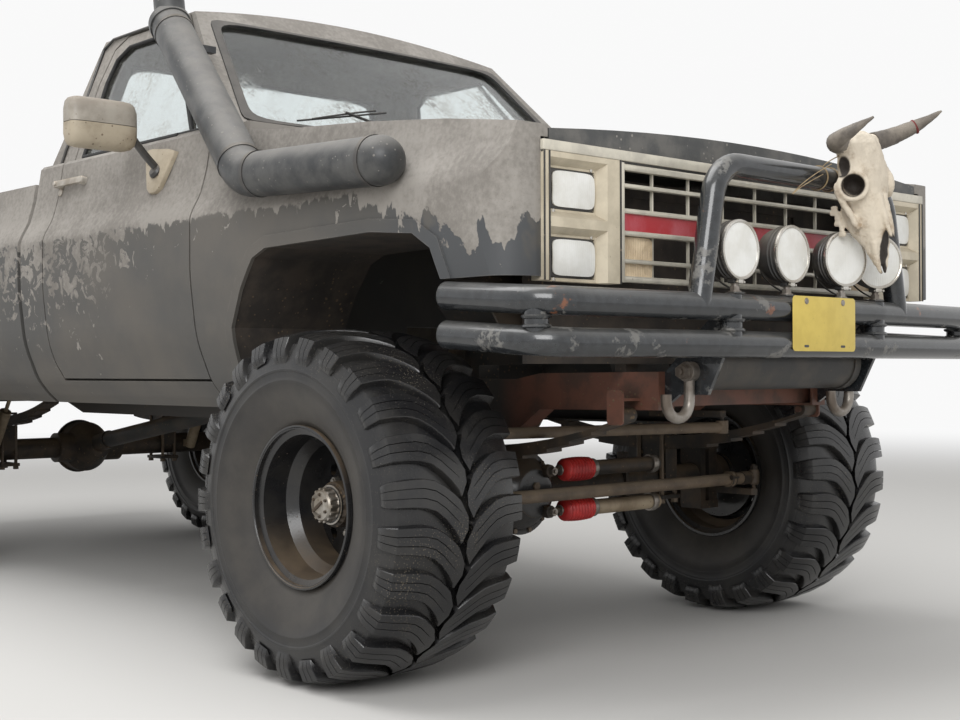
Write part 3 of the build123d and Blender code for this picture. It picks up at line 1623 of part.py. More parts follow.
with BuildPart() as fenders:
    add(side_slab(fender_front, fender_rear, 0, sill_height, 700.0))
    add(side_prism(fender_outline), mode=Mode.INTERSECT)
    add(corner_plan(0), mode=Mode.INTERSECT)
    add(fender_inside.part, mode=Mode.SUBTRACT)
    add(arch_lip(arch_void, fender_front - corner_radius, fender_rear))
    with Locations((at(-800), 600, up(500))):
        Box(1700, hood_half + hood_gap - 600, 500, align=(Align.MIN, Align.MIN, Align.MIN), mode=Mode.SUBTRACT)
    with Locations((at(600), 600, up(-10))):
        Box(200, 287, 705, align=(Align.MIN, Align.MIN, Align.MIN), mode=Mode.SUBTRACT)
    with Locations((at(bumper_side_end - 80), 860, up(-60))):
        Box(400, 300, bumper_cut_top + 60, align=(Align.MIN, Align.MIN, Align.MIN), mode=Mode.SUBTRACT)
    mirror(about=Plane.XZ)
save(fenders.part, "fenders")

# Inner fenders: a sheet round each arch and an upright apron beside the engine
apron_y = 560.0
apron_top = 640.0
sheet = 5.0
sheet_lift = 3.0
with BuildPart() as arch_sheet:
    add(side_prism(arch_void, sheet_lift + sheet))
    add(side_prism(arch_void, sheet_lift), mode=Mode.SUBTRACT)

with BuildPart() as apron:
    with BuildSketch(Plane.XZ.offset(-apron_y)):
        Polygon(
            (at(radiator_station + 30 - running_gap), up(440)),
            (at(radiator_station + 30 - running_gap), up(apron_top - 10)),
            (at(cowl_station + running_gap), up(apron_top)),
            (at(cowl_station + running_gap), up(20)),
            (at(arch_line[0][0]), up(20)),
            align=None,
        )
    extrude(amount=-sheet)
    add(side_prism(arch_void, sheet_lift), mode=Mode.SUBTRACT)

with BuildPart() as inner_fenders:
    add(side_slab(radiator_station + 30 - running_gap, fender_rear - 2, 20, 700, apron_y, skin + running_gap))
    add(arch_sheet.part, mode=Mode.INTERSECT)
    add(apron.part)
    with Locations((at(bumper_side_end - 80), 860, up(-60))):
        Box(400, 300, bumper_cut_top + 60, align=(Align.MIN, Align.MIN, Align.MIN), mode=Mode.SUBTRACT)
    mirror(about=Plane.XZ)
    add(cab_shell.part, mode=Mode.SUBTRACT)
    add(radiator.part, mode=Mode.SUBTRACT)
save(inner_fenders.part, "inner_fenders")

# Grille: border, bars and the broad middle band
grille_half = 606.0
grille_low = 346.0
grille_high = 655.0
grille_front = 757.0
grille_depth = 44.0
grille_border = 13.0
# Horizontal bars, columns: centre height, thickness
grille_bars = [(588, 9), (540, 9), (492, 48), (443, 9), (397, 9)]
grille_upright_count = 9
grille_upright = 5.0
turn_lamp_size = (20.0, 92.0, 100.0)
turn_lamp_y = 543.0
turn_lamp_height = grille_low + grille_border + running_gap + turn_lamp_size[2] / 2
with BuildPart() as grille:
    with BuildSketch(Plane.YZ.offset(at(grille_front))):
        with Locations((0, up((grille_low + grille_high) / 2))):
            Rectangle(2 * grille_half, grille_high - grille_low)
            Rectangle(2 * (grille_half - grille_border), grille_high - grille_low - 2 * grille_border,
                      mode=Mode.SUBTRACT)
    extrude(amount=-grille_depth)
    with BuildSketch(Plane.YZ.offset(at(grille_front - 3))):
        for height, thickness in grille_bars:
            with Locations((0, up(height))):
                Rectangle(2 * grille_half - 2, thickness)
        with Locations((0, up((grille_low + grille_high) / 2))):
            with GridLocations(2 * grille_half / (grille_upright_count + 1), 1, grille_upright_count, 1):
                Rectangle(grille_upright, grille_high - grille_low - 2)
    extrude(amount=-20)
save(grille.part, "grille")

# Headlamp bezels and the four rectangular lamps
bezel_inner = grille_half + running_gap
bezel_outer = 886.7
bezel_low = 340.0
bezel_high = 660.0
lamp_width = 165.0
lamp_height = 103.0
lamp_centre_y = 760.0
lamp_rows = [572.0, 400.0]
bezel_depth = 46.0
with BuildPart() as headlamp_bezels:
    with BuildSketch(Plane.YZ.offset(at(grille_front))):
        with Locations(((bezel_inner + bezel_outer) / 2, up((bezel_low + bezel_high) / 2))):
            Rectangle(bezel_outer - bezel_inner, bezel_high - bezel_low)
    extrude(amount=-bezel_depth)
    for row in lamp_rows:
        with BuildSketch(Plane.YZ.offset(at(grille_front))):
            with Locations((lamp_centre_y, up(row))):
                Rectangle(lamp_width + 44, lamp_height + 44)
        extrude(amount=-26, taper=32, mode=Mode.SUBTRACT)
        with BuildSketch(Plane.YZ.offset(at(grille_front))):
            with Locations((lamp_centre_y, up(row))):
                Rectangle(lamp_width, lamp_height)
        extrude(amount=-bezel_depth, mode=Mode.SUBTRACT)
    mirror(about=Plane.XZ)
save(headlamp_bezels.part, "headlamp_bezels")

with BuildPart() as headlamps:
    for row in lamp_rows:
        with BuildSketch(Plane.YZ.offset(at(grille_front - 24))):
            with Locations((lamp_centre_y, up(row))):
                RectangleRounded(lamp_width, lamp_height, 9)
        extrude(amount=-28)
        with BuildSketch(Plane.YZ.offset(at(grille_front - 24))):
            with Locations((lamp_centre_y, up(row))):
                RectangleRounded(lamp_width - 8, lamp_height - 8, 9)
        extrude(amount=8, taper=40)
    with Locations((at(grille_front - 24 - turn_lamp_size[0] / 2), turn_lamp_y, up(turn_lamp_height))):
        Box(*turn_lamp_size)
    mirror(about=Plane.XZ)
save(headlamps.part, "headlamps")

# Raised air intake: duct along the right fender, riser beside the pillar, upper pipe with a cap
duct_radius = 66.0
duct_y = -1052.0
duct_front = (at(323), duct_y, up(665))
duct_elbow = (at(-307), duct_y, up(690))
riser_top = (at(-1020), -885, up(1292))
pipe_radius = 52.0
pipe_top = (at(-1080), -872, up(1580))
cap_radius = 92.0
with BuildPart() as air_intake:
    add(tube_path([duct_front, duct_elbow, riser_top], (150,), duct_radius))
    with Locations(duct_front):
        Sphere(duct_radius)
    riser_axis = Vector(*riser_top) - Vector(*duct_elbow)
    add(rod_between(Vector(*riser_top) - riser_axis.normalized() * 22, Vector(*riser_top)
                    + riser_axis.normalized() * 6, duct_radius + 5))
    add(rod_between(Vector(*riser_top) - riser_axis.normalized() * 20, pipe_top, pipe_radius))
    with Locations(pipe_top):
        Cylinder(cap_radius, 70)
    with Locations((at(-905), -860, up(1196))):
        Box(30, 150, 22)
    add(cab_shell.part, mode=Mode.SUBTRACT)
save(air_intake.part, "air_intake")

# Cargo bed: outer sides, inner box, floor on cross sills
bed_wall_y = 800.0
bed_rail_height = 832.0
bed_floor_top = 342.0
bed_floor_thick = 28.0
bed_front_wall = 30.0
bed_sill_width = 70.0
tailgate_thick = 55.0
tailgate_half = 776.0
tailgate_gap = 7.0
tail_wall = 8.0
wheelhouse_y = 620.0
tail_lamp_y = 884.0
tail_lamp_height = 560.0
tail_lamp_width = 104.0
tail_lamp_length = 300.0
# Rear arch, columns: distance from the rear axle, height
rear_arch_half = [(330, 455), (420, 400), (515, 200), (560, -10)]
rear_arch = [(-s, h) for s, h in reversed(rear_arch_half)] + rear_arch_half
bed_arch = [(rear_axle_station + s, h) for s, h in rear_arch]
wheel_bay_half = 700.0
with BuildPart() as bed_cavity:
    add(side_slab(bed_front - tail_wall, bed_rear + tail_wall, 0, bed_rail_height - 46, bed_wall_y + 12, skin))

# Load space and the space under the floor, with the way out at the tailgate
with BuildPart() as bed_spaces:
    with Locations((at(bed_rear - 10), -1, up(-5))):
        Box(bed_front - bed_rear + 20, bed_wall_y + 15, bed_floor_top - bed_floor_thick + 5,
            align=(Align.MIN, Align.MIN, Align.MIN))
    with Locations((at(bed_rear + tailgate_thick + tailgate_gap), -1, up(bed_floor_top))):
        Box(bed_front - bed_front_wall - bed_rear - tailgate_thick - tailgate_gap, bed_wall_y + 1, 600,
            align=(Align.MIN, Align.MIN, Align.MIN))
    with Locations((at(bed_rear - 10), -1, up(bed_floor_top - bed_floor_thick - 1))):
        Box(10 + tailgate_thick + tailgate_gap, tailgate_half + tailgate_gap + 1, 600,
            align=(Align.MIN, Align.MIN, Align.MIN))

# Wheelhouse over the left rear wheel, from its cheek out to the side
with BuildPart() as wheelhouse_block:
    add(side_slab(bed_front, bed_rear, 0, 600, wheelhouse_y, skin))

with BuildPart() as wheelhouse:
    add(side_prism(bed_arch, sheet))
    add(side_prism(bed_arch), mode=Mode.SUBTRACT)
    add(wheelhouse_block.part, mode=Mode.INTERSECT)

with BuildPart() as cargo_bed:
    add(side_slab(bed_front, bed_rear, 0, bed_rail_height, 0.0))
    add(bed_cavity.part, mode=Mode.SUBTRACT)
    add(bed_spaces.part, mode=Mode.SUBTRACT)
    with BuildSketch(Plane.XZ.offset(-wheelhouse_y)):
        Polygon(*[(at(s), up(h)) for s, h in bed_arch], align=None)
    extrude(amount=-600, mode=Mode.SUBTRACT)
    add(wheelhouse.part)
    add(arch_lip(bed_arch, rear_axle_station + wheel_bay_half, rear_axle_station - wheel_bay_half))
    with BuildSketch(Plane.XZ.offset(-(wheelhouse_y - sheet))):
        Polygon(*[(at(s), up(h)) for s, h in bed_arch], align=None)
        offset(amount=sheet, kind=Kind.INTERSECTION)
        with Locations((at(rear_axle_station), up(bed_floor_top - bed_floor_thick))):
            Rectangle(2000, 800, align=(Align.CENTER, Align.MIN), mode=Mode.INTERSECT)
    extrude(amount=-sheet)
    mirror(about=Plane.XZ)
    for station in bed_sill_stations:
        with Locations((at(station), 0, bed_sill_bottom)):
            Box(bed_sill_width, 2 * (bed_wall_y - 6), up(bed_floor_top - bed_floor_thick) - bed_sill_bottom,
                align=(Align.CENTER, Align.CENTER, Align.MIN))
    for side in (1, -1):
        with Locations((at(bed_rear), side * tail_lamp_y, up(tail_lamp_height))):
            Box(60, tail_lamp_width, tail_lamp_length, mode=Mode.SUBTRACT)
        with Locations((at(bed_rear + 28), side * (tailgate_half + 4), up(bed_floor_top + 34))):
            Cylinder(8 + shaft_clearance, 40, rotation=(90, 0, 0), mode=Mode.SUBTRACT)
save(cargo_bed.part, "cargo_bed")

with BuildPart() as tail_lamps:
    for side in (1, -1):
        with Locations((at(bed_rear + 8), side * tail_lamp_y, up(tail_lamp_height))):
            Box(32, tail_lamp_width - 2 * running_gap, tail_lamp_length - 2 * running_gap)
save(tail_lamps.part, "tail_lamps")

with BuildPart() as tailgate:
    with Locations((at(bed_rear), 0, up(bed_floor_top + 4))):
        Box(tailgate_thick, 2 * tailgate_half, bed_rail_height - bed_floor_top - 4,
            align=(Align.MIN, Align.CENTER, Align.MIN))
    with Locations((at(bed_rear), 0, up(590))):
        Box(12, 1240, 300, mode=Mode.SUBTRACT)
    for side in (1, -1):
        with Locations((at(bed_rear + 28), side * (tailgate_half + 7), up(bed_floor_top + 34))):
            Cylinder(8, 22, rotation=(90, 0, 0))
save(tailgate.part, "tailgate")
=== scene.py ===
import math

import bmesh
import bpy
from mathutils import Matrix, Vector, noise as cloud


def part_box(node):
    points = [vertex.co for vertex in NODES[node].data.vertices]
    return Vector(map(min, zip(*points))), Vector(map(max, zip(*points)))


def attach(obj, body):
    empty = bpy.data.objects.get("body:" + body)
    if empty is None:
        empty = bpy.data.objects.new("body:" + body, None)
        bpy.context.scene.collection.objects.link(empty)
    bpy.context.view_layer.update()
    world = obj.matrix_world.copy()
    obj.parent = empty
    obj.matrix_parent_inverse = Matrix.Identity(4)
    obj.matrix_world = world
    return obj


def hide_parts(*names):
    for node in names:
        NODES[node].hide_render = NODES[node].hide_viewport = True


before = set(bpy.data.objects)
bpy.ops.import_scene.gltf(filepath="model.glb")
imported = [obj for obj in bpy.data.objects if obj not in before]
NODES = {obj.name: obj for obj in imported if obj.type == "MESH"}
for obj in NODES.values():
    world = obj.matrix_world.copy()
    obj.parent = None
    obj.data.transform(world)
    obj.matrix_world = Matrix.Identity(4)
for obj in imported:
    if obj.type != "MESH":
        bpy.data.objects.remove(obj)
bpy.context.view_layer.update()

bl_info = {
    "name": "Lifted Pickup Looks",
    "version": (1, 0, 0),
    "blender": (4, 5, 0),
    "location": "View3D > Sidebar > Pickup",
    "description": "Mud, paint, tyres, lamps and trim for the lifted pickup",
    "category": "Object",
}

MM = 0.001
AXLE_X = 1.7335
ROCKER = 0.750
FULL_TURN = 2 * math.pi
CAR = Matrix.Translation((AXLE_X, 0.0, ROCKER)) @ Matrix.Scale(MM, 4)
UNMOVED = Matrix.Identity(4)
# Side of the car, 1 being left, of each wheel
WHEELS = {"front_right": -1, "front_left": 1, "rear_right": -1, "rear_left": 1}
FINISHES = {}
STEPS = []


def operator(label):
    """Makes an operator of the add-on from the function below it, run in the order of this file."""
    def made_operator(build):
        def execute(self, context):
            build()
            return {"FINISHED"}

        STEPS.append(type("PICKUP_OT_" + build.__name__, (bpy.types.Operator,), {
            "__doc__": build.__doc__, "bl_idname": "pickup." + build.__name__, "bl_label": label,
            "execute": execute}))
        return build
    return made_operator


def at(station):
    """X in metres of a station in millimetres ahead of the front axle."""
    return AXLE_X + station * MM


def colour(name, description, default):
    """Colour property of the add-on."""
    return bpy.props.FloatVectorProperty(
        name=name, description=description, subtype="COLOR", size=3, min=0.0, max=1.0, default=default)


def length(name, description, default):
    """Length property of the add-on, in metres."""
    return bpy.props.FloatProperty(
        name=name, description=description, subtype="DISTANCE", unit="LENGTH", min=0.0, default=default)


class PickupPaint(bpy.types.PropertyGroup):
    """Colours of the body, its mud and its trim."""

    body: colour("Body", "Faded grey paint under a film of dust", (0.078, 0.076, 0.072))
    haze: colour("Haze", "Brown haze on the paint", (0.112, 0.102, 0.089))
    smooth: colour("Smooth patch", "Cleaner blue-grey paint ahead of the wheel", (0.060, 0.064, 0.069))
    mud: colour("Dried mud", "Coat of dried mud", (0.190, 0.175, 0.157))
    mud_pale: colour("Pale mud", "Palest dried mud", (0.300, 0.280, 0.254))
    mud_deep: colour("Deep mud", "Darker, thicker mud", (0.150, 0.115, 0.085))
    soil: colour("Soil", "Yellow-brown soil on the running gear", (0.150, 0.105, 0.062))
    bumper: colour("Bumper", "Black enamel of the bumper tubes", (0.012, 0.0135, 0.0155))
    rust: colour("Rust", "Surface rust", (0.170, 0.062, 0.028))
    stripe: colour("Stripe", "Red middle band of the grille", (0.420, 0.022, 0.030))
    boot: colour("Boots", "Red rubber boots of the steering dampers", (0.620, 0.035, 0.030))
    rubber: colour("Rubber", "Tyre rubber", (0.013, 0.013, 0.014))
    bone: colour("Bone", "Bleached bone", (0.640, 0.565, 0.455))
    plate: colour("Plate", "Yellow of the blank plate", (0.640, 0.490, 0.110))


class PickupTyre(bpy.types.PropertyGroup):
    """Sizes of the mud tyre's tread."""

    lugs: bpy.props.IntProperty(name="Lugs", description="Lugs on each shoulder", default=25, min=8)
    zigzag: length("Zigzag", "Swing of the middle groove", 0.014)
    groove: length("Groove", "Half width of the middle groove", 0.005)


class PickupStage(bpy.types.PropertyGroup):
    """Camera, floor and lamps."""

    eye: bpy.props.FloatVectorProperty(
        name="Eye", description="Camera place", subtype="TRANSLATION", unit="LENGTH",
        default=(4.93746, -3.36385, 0.86993))
    yaw: bpy.props.FloatProperty(name="Yaw", description="Camera heading in degrees", default=137.27)
    pitch: bpy.props.FloatProperty(name="Pitch", description="Camera pitch in degrees", default=0.38)
    roll: bpy.props.FloatProperty(name="Roll", description="Camera roll in degrees", default=-0.19)
    lens: bpy.props.FloatProperty(name="Lens", description="Focal length in millimetres", default=53.15)
    floor: colour("Floor", "Pale floor", (0.62, 0.61, 0.59))


def add_node(tree, kind, inputs=None, **settings):
    """One shader node, its inputs given as values or as other nodes' sockets."""
    made = tree.nodes.new(kind)
    for name, value in settings.items():
        setattr(made, name, value)
    for key, value in (inputs or {}).items():
        if isinstance(value, bpy.types.NodeSocket):
            tree.links.new(value, made.inputs[key])
        else:
            made.inputs[key].default_value = value
    return made


def calc(tree, operation, first, second=0.0, third=0.0, clamp=False):
    """Result of a math node."""
    return add_node(tree, "ShaderNodeMath", {0: first, 1: second, 2: third},
                    operation=operation, use_clamp=clamp).outputs[0]


def ramp(tree, value, low, high):
    """Smooth step of a value from 0 at low to 1 at high."""
    return add_node(tree, "ShaderNodeMapRange", {"Value": value, "From Min": low, "From Max": high},
                    interpolation_type="SMOOTHSTEP").outputs[0]


def mix_colour(tree, mask, first, second):
    """Colour that goes from the first to the second by a mask."""
    made = add_node(tree, "ShaderNodeMix", data_type="RGBA")
    for index, value in ((0, mask), (6, first), (7, second)):
        if isinstance(value, bpy.types.NodeSocket):
            tree.links.new(value, made.inputs[index])
        else:
            made.inputs[index].default_value = value if index == 0 else (*value, 1.0)
    return made.outputs[2]


def mix_value(tree, mask, first, second):
    """Number that goes from the first to the second by a mask."""
    return add_node(tree, "ShaderNodeMix", {0: mask, 2: first, 3: second}, data_type="FLOAT").outputs[0]


def noise(tree, vector, scale, detail=4.0, roughness=0.6, distortion=0.0):
    """Noise value at a place."""
    return add_node(tree, "ShaderNodeTexNoise", {
        "Vector": vector, "Scale": scale, "Detail": detail, "Roughness": roughness, "Distortion": distortion,
    }).outputs[0]


def effect(name, inputs, outputs):
    """Empty node group with named float inputs and outputs."""
    tree = bpy.data.node_groups.new(name, "ShaderNodeTree")
    for label, default in inputs:
        socket = tree.interface.new_socket(name=label, in_out="INPUT", socket_type="NodeSocketFloat")
        socket.default_value = default
    for label in outputs:
        tree.interface.new_socket(name=label, in_out="OUTPUT", socket_type="NodeSocketFloat")
    return tree, tree.nodes.new("NodeGroupInput").outputs, tree.nodes.new("NodeGroupOutput").inputs


def make_mud_coat():
    """Dried coat above the body's crease: lobes on the wing, short drips, and lace towards the rear."""
    tree, given, result = effect(
        "mud_coat", [("Crease", 1.347), ("Lobe Drop", 0.13), ("Lace", 0.17)], ["Mask", "Tone", "Ahead"])
    place = add_node(tree, "ShaderNodeTexCoord").outputs["Object"]
    split = add_node(tree, "ShaderNodeSeparateXYZ", {0: place}).outputs
    lobe_place = add_node(tree, "ShaderNodeMapping", {"Vector": place, "Scale": (9.0, 9.0, 5.2)}).outputs[0]
    drip_place = add_node(tree, "ShaderNodeMapping", {"Vector": place, "Scale": (42.0, 42.0, 6.0)}).outputs[0]
    lobes = noise(tree, lobe_place, 1.0, 5.0, 0.52, 0.5)
    drips = noise(tree, drip_place, 1.0, 2.0, 0.45)
    crowd = noise(tree, place, 3.4, 2.0, 0.5)
    lace = noise(tree, place, 19.0, 5.0, 0.60, 0.9)
    fleck = noise(tree, place, 60.0, 4.0, 0.65)
    ahead = ramp(tree, split["X"], at(120), at(520))
    behind = ramp(tree, split["X"], at(-850), at(-1400))
    level = calc(tree, "SUBTRACT", given["Crease"], calc(tree, "MULTIPLY", ahead, given["Lobe Drop"]))
    rise = calc(tree, "SUBTRACT", split["Z"], level)
    swing = calc(tree, "MULTIPLY_ADD", ahead, 0.36, 0.07)
    ragged = calc(tree, "MULTIPLY", calc(tree, "SUBTRACT", lobes, 0.5), swing)
    falling = calc(tree, "MULTIPLY", calc(tree, "MAXIMUM", calc(tree, "SUBTRACT", drips, 0.50), 0.0),
                   calc(tree, "MULTIPLY", ramp(tree, crowd, 0.42, 0.55), 0.15))
    frayed = calc(tree, "MULTIPLY", calc(tree, "SUBTRACT", fleck, 0.5), 0.020)
    tide = calc(tree, "ADD", calc(tree, "ADD", rise, ragged), calc(tree, "ADD", falling, frayed))
    coat = ramp(tree, tide, -0.003, 0.004)
    depth = calc(tree, "SUBTRACT", given["Crease"], split["Z"])
    laced = calc(tree, "ADD", lace, calc(tree, "MULTIPLY", behind, given["Lace"]))
    laced = calc(tree, "SUBTRACT", laced, calc(tree, "MULTIPLY", depth, 0.50))
    lattice = ramp(tree, laced, 0.615, 0.635)
    tree.links.new(calc(tree, "MAXIMUM", coat, lattice), result["Mask"])
    tree.links.new(mix_value(tree, 0.4, crowd, fleck), result["Tone"])
    tree.links.new(calc(tree, "MULTIPLY", ahead, ramp(tree, lobes, 0.36, 0.44)), result["Ahead"])


def make_settled_dust():
    """Dust lying on what faces up, thinner where the noise is low."""
    tree, given, result = effect("settled_dust", [("Amount", 0.6), ("Scale", 9.0)], ["Mask"])
    coordinates = add_node(tree, "ShaderNodeTexCoord")
    upward = add_node(tree, "ShaderNodeSeparateXYZ", {0: coordinates.outputs["Normal"]}).outputs["Z"]
    patch = noise(tree, coordinates.outputs["Object"], given["Scale"], 6.0, 0.6)
    lying = calc(tree, "MULTIPLY", ramp(tree, upward, 0.15, 0.85), calc(tree, "MULTIPLY_ADD", patch, 1.6, 0.05))
    tree.links.new(calc(tree, "MULTIPLY", lying, given["Amount"], clamp=True), result["Mask"])


def make_thrown_drops():
    """Round spots of thrown mud, of mixed sizes."""
    tree, given, result = effect("thrown_drops", [("Scale", 60.0), ("Amount", 0.4)], ["Mask"])
    place = add_node(tree, "ShaderNodeTexCoord").outputs["Object"]
    cell = add_node(tree, "ShaderNodeTexVoronoi", {"Vector": place, "Scale": given["Scale"]})
    crowd = noise(tree, place, 4.0, 3.0, 0.6)
    size = calc(tree, "MULTIPLY", calc(tree, "MULTIPLY", crowd, crowd), given["Amount"])
    tree.links.new(ramp(tree, calc(tree, "SUBTRACT", size, cell.outputs["Distance"]), -0.03, 0.06),
                   result["Mask"])


def make_grain():
    """Plain value noise at a scale."""
    tree, given, result = effect("grain", [("Scale", 40.0), ("Detail", 5.0)], ["Value"])
    place = add_node(tree, "ShaderNodeTexCoord").outputs["Object"]
    tree.links.new(noise(tree, place, given["Scale"], given["Detail"], 0.62), result["Value"])


def make_worn_edge():
    """Mask of convex edges, found by how far a rounded normal leaves the true one."""
    tree, given, result = effect("worn_edge", [("Width", 0.004), ("Amount", 1.0)], ["Mask"])
    softened = add_node(tree, "ShaderNodeBevel", {"Radius": given["Width"]}, samples=4).outputs[0]
    true = add_node(tree, "ShaderNodeNewGeometry").outputs["Normal"]
    bend = add_node(tree, "ShaderNodeVectorMath", {0: softened, 1: true},
                    operation="DOT_PRODUCT").outputs["Value"]
    place = add_node(tree, "ShaderNodeTexCoord").outputs["Object"]
    chipped = ramp(tree, noise(tree, place, 35.0, 4.0, 0.7), 0.35, 0.65)
    edge = calc(tree, "MULTIPLY", ramp(tree, bend, 0.985, 0.86), chipped)
    tree.links.new(calc(tree, "MULTIPLY", edge, given["Amount"], clamp=True), result["Mask"])


class Shader:
    """One material under way: its tree, its surface and the shared effects."""

    def __init__(self, name):
        self.name = name
        self.material = bpy.data.materials.new(name)
        self.material.use_nodes = True
        self.tree = self.material.node_tree
        self.surface = self.tree.nodes["Principled BSDF"]

    def use(self, group, output, **values):
        """Output of a shared effect, with the values of its inputs."""
        made = add_node(self.tree, "ShaderNodeGroup", node_tree=bpy.data.node_groups[group])
        for label, value in values.items():
            made.inputs[label].default_value = value
        return made.outputs[output]

    def grain(self, scale, detail):
        """Plain value noise."""
        return self.use("grain", "Value", Scale=scale, Detail=detail)

    def dust(self, amount, scale):
        """Where dust has settled."""
        return self.use("settled_dust", "Mask", Amount=amount, Scale=scale)

    def drops(self, scale, amount):
        """Where mud was thrown."""
        return self.use("thrown_drops", "Mask", Scale=scale, Amount=amount)

    def edges(self, width, amount):
        """Where convex edges are worn."""
        return self.use("worn_edge", "Mask", Width=width, Amount=amount)

    def times(self, first, second):
        """Product of two values."""
        return self.calc("MULTIPLY", first, second)

    def most(self, first, second):
        """Larger of two values."""
        return self.calc("MAXIMUM", first, second)

    def attribute(self, name):
        """Value that the mesh carries on its points."""
        return add_node(self.tree, "ShaderNodeAttribute", attribute_name=name).outputs["Fac"]

    def mix(self, mask, first, second):
        """Colour between two by a mask."""
        return mix_colour(self.tree, mask, first, second)

    def blend(self, mask, first, second):
        """Number between two by a mask."""
        return mix_value(self.tree, mask, first, second)

    def calc(self, operation, first, second=0.0, third=0.0):
        """Result of a math node."""
        return calc(self.tree, operation, first, second, third)

    def ramp(self, value, low, high):
        """Smooth step of a value from 0 at low to 1 at high."""
        return ramp(self.tree, value, low, high)

    def bump(self, height, distance, strength):
        """Normal of a height map."""
        return add_node(self.tree, "ShaderNodeBump",
                        {"Height": height, "Distance": distance, "Strength": strength}).outputs[0]

    def finish(self, values):
        """Sets or links the surface's inputs and stores the material."""
        for key, value in values.items():
            if isinstance(value, bpy.types.NodeSocket):
                self.tree.links.new(value, self.surface.inputs[key])
            elif isinstance(value, tuple):
                self.surface.inputs[key].default_value = (*value, 1.0)
            else:
                self.surface.inputs[key].default_value = value
        FINISHES[self.name] = self.material


def paint_body(look):
    """Faded body paint under a dried coat of mud, with brown haze and specks below it."""
    shade = Shader("body_paint")
    coat = shade.use("mud_coat", "Mask")
    tone = shade.use("mud_coat", "Tone")
    ahead = shade.use("mud_coat", "Ahead")
    haze = shade.grain(2.2, 8.0)
    fine = shade.grain(190.0, 3.0)
    drops = shade.drops(70.0, 0.26)
    worn = shade.edges(0.006, 0.5)
    ground = shade.mix(shade.ramp(haze, 0.34, 0.68), look.body, look.haze)
    ground = shade.mix(shade.times(ahead, 0.85), ground, look.smooth)
    mud = shade.mix(shade.ramp(tone, 0.36, 0.62), look.mud, look.mud_pale)
    mud = shade.mix(shade.times(drops, 0.5), mud, look.mud_deep)
    shown = shade.mix(shade.times(worn, 0.5), shade.mix(coat, ground, mud), look.mud_pale)
    height = shade.calc("ADD", coat, shade.times(fine, 0.30))
    shade.finish({
        "Base Color": shown,
        "Roughness": shade.blend(coat, 0.50, 0.88),
        "Specular IOR Level": 0.35,
        "Normal": shade.bump(height, 0.0007, 0.8),
    })


def paint_bumper(look):
    """Black enamel of the tubes with separate blotches of dry grey mud and a little rust."""
    shade = Shader("bumper_paint")
    patch = shade.grain(9.0, 5.0)
    broken = shade.grain(48.0, 5.0)
    fine = shade.grain(170.0, 4.0)
    lying = shade.dust(0.55, 11.0)
    specks = shade.drops(95.0, 0.24)
    blotch = shade.times(shade.ramp(patch, 0.575, 0.63), shade.ramp(broken, 0.40, 0.52))
    film = shade.most(shade.times(blotch, 0.62), shade.times(lying, 0.5))
    soiled = shade.most(film, shade.times(specks, 0.6))
    base = shade.mix(shade.ramp(broken, 0.35, 0.65), look.bumper, (0.024, 0.027, 0.030))
    rusted = shade.mix(shade.ramp(shade.grain(13.0, 6.0), 0.64, 0.70), base, look.rust)
    shade.finish({
        "Base Color": shade.mix(soiled, rusted, (0.235, 0.226, 0.208)),
        "Roughness": shade.blend(soiled, 0.22, 0.85),
        "Coat Weight": shade.calc("SUBTRACT", 0.5, shade.times(soiled, 0.5)),
        "Normal": shade.bump(shade.calc("MULTIPLY_ADD", fine, 0.25, soiled), 0.0005, 0.7),
    })


def dirty_metal(name, ground, second, dirt, rough, metal, dust, drops, wear=0.0):
    """Metal of two close colours under thrown mud, settled dust and worn edges."""
    shade = Shader(name)
    patch = shade.grain(9.0, 7.0)
    fine = shade.grain(130.0, 4.0)
    lying = shade.dust(dust, 14.0)
    spots = shade.drops(48.0, drops)
    base = shade.mix(shade.ramp(patch, 0.38, 0.64), ground, second)
    soiled = shade.most(lying, shade.times(spots, 0.85))
    shown = shade.mix(soiled, base, dirt)
    if wear:
        shown = shade.mix(shade.edges(0.004, wear), shown, (0.30, 0.28, 0.26))
    height = shade.calc("MULTIPLY_ADD", fine, 0.5, soiled)
    shade.finish({
        "Base Color": shown,
        "Metallic": shade.blend(soiled, metal, 0.0),
        "Roughness": shade.blend(soiled, rough, 0.92),
        "Normal": shade.bump(height, 0.0008, 0.8),
    })


def paint_frame(look):
    """Black frame whose front horns are red-brown with rust and dust."""
    shade = Shader("frame_paint")
    place = add_node(shade.tree, "ShaderNodeTexCoord").outputs["Object"]
    station = add_node(shade.tree, "ShaderNodeSeparateXYZ", {0: place}).outputs["X"]
    ahead = shade.ramp(station, at(60), at(190))
    patch = shade.grain(12.0, 7.0)
    spots = shade.drops(48.0, 0.5)
    lying = shade.dust(0.6, 14.0)
    horn = shade.mix(shade.ramp(patch, 0.40, 0.62), (0.150, 0.062, 0.040), (0.085, 0.045, 0.032))
    soiled = shade.most(lying, shade.times(spots, 0.85))
    shade.finish({
        "Base Color": shade.mix(soiled, shade.mix(ahead, (0.030, 0.026, 0.022), horn), look.soil),
        "Roughness": shade.blend(soiled, 0.55, 0.92),
        "Normal": shade.bump(shade.calc("MULTIPLY_ADD", patch, 0.5, soiled), 0.0008, 0.8),
    })


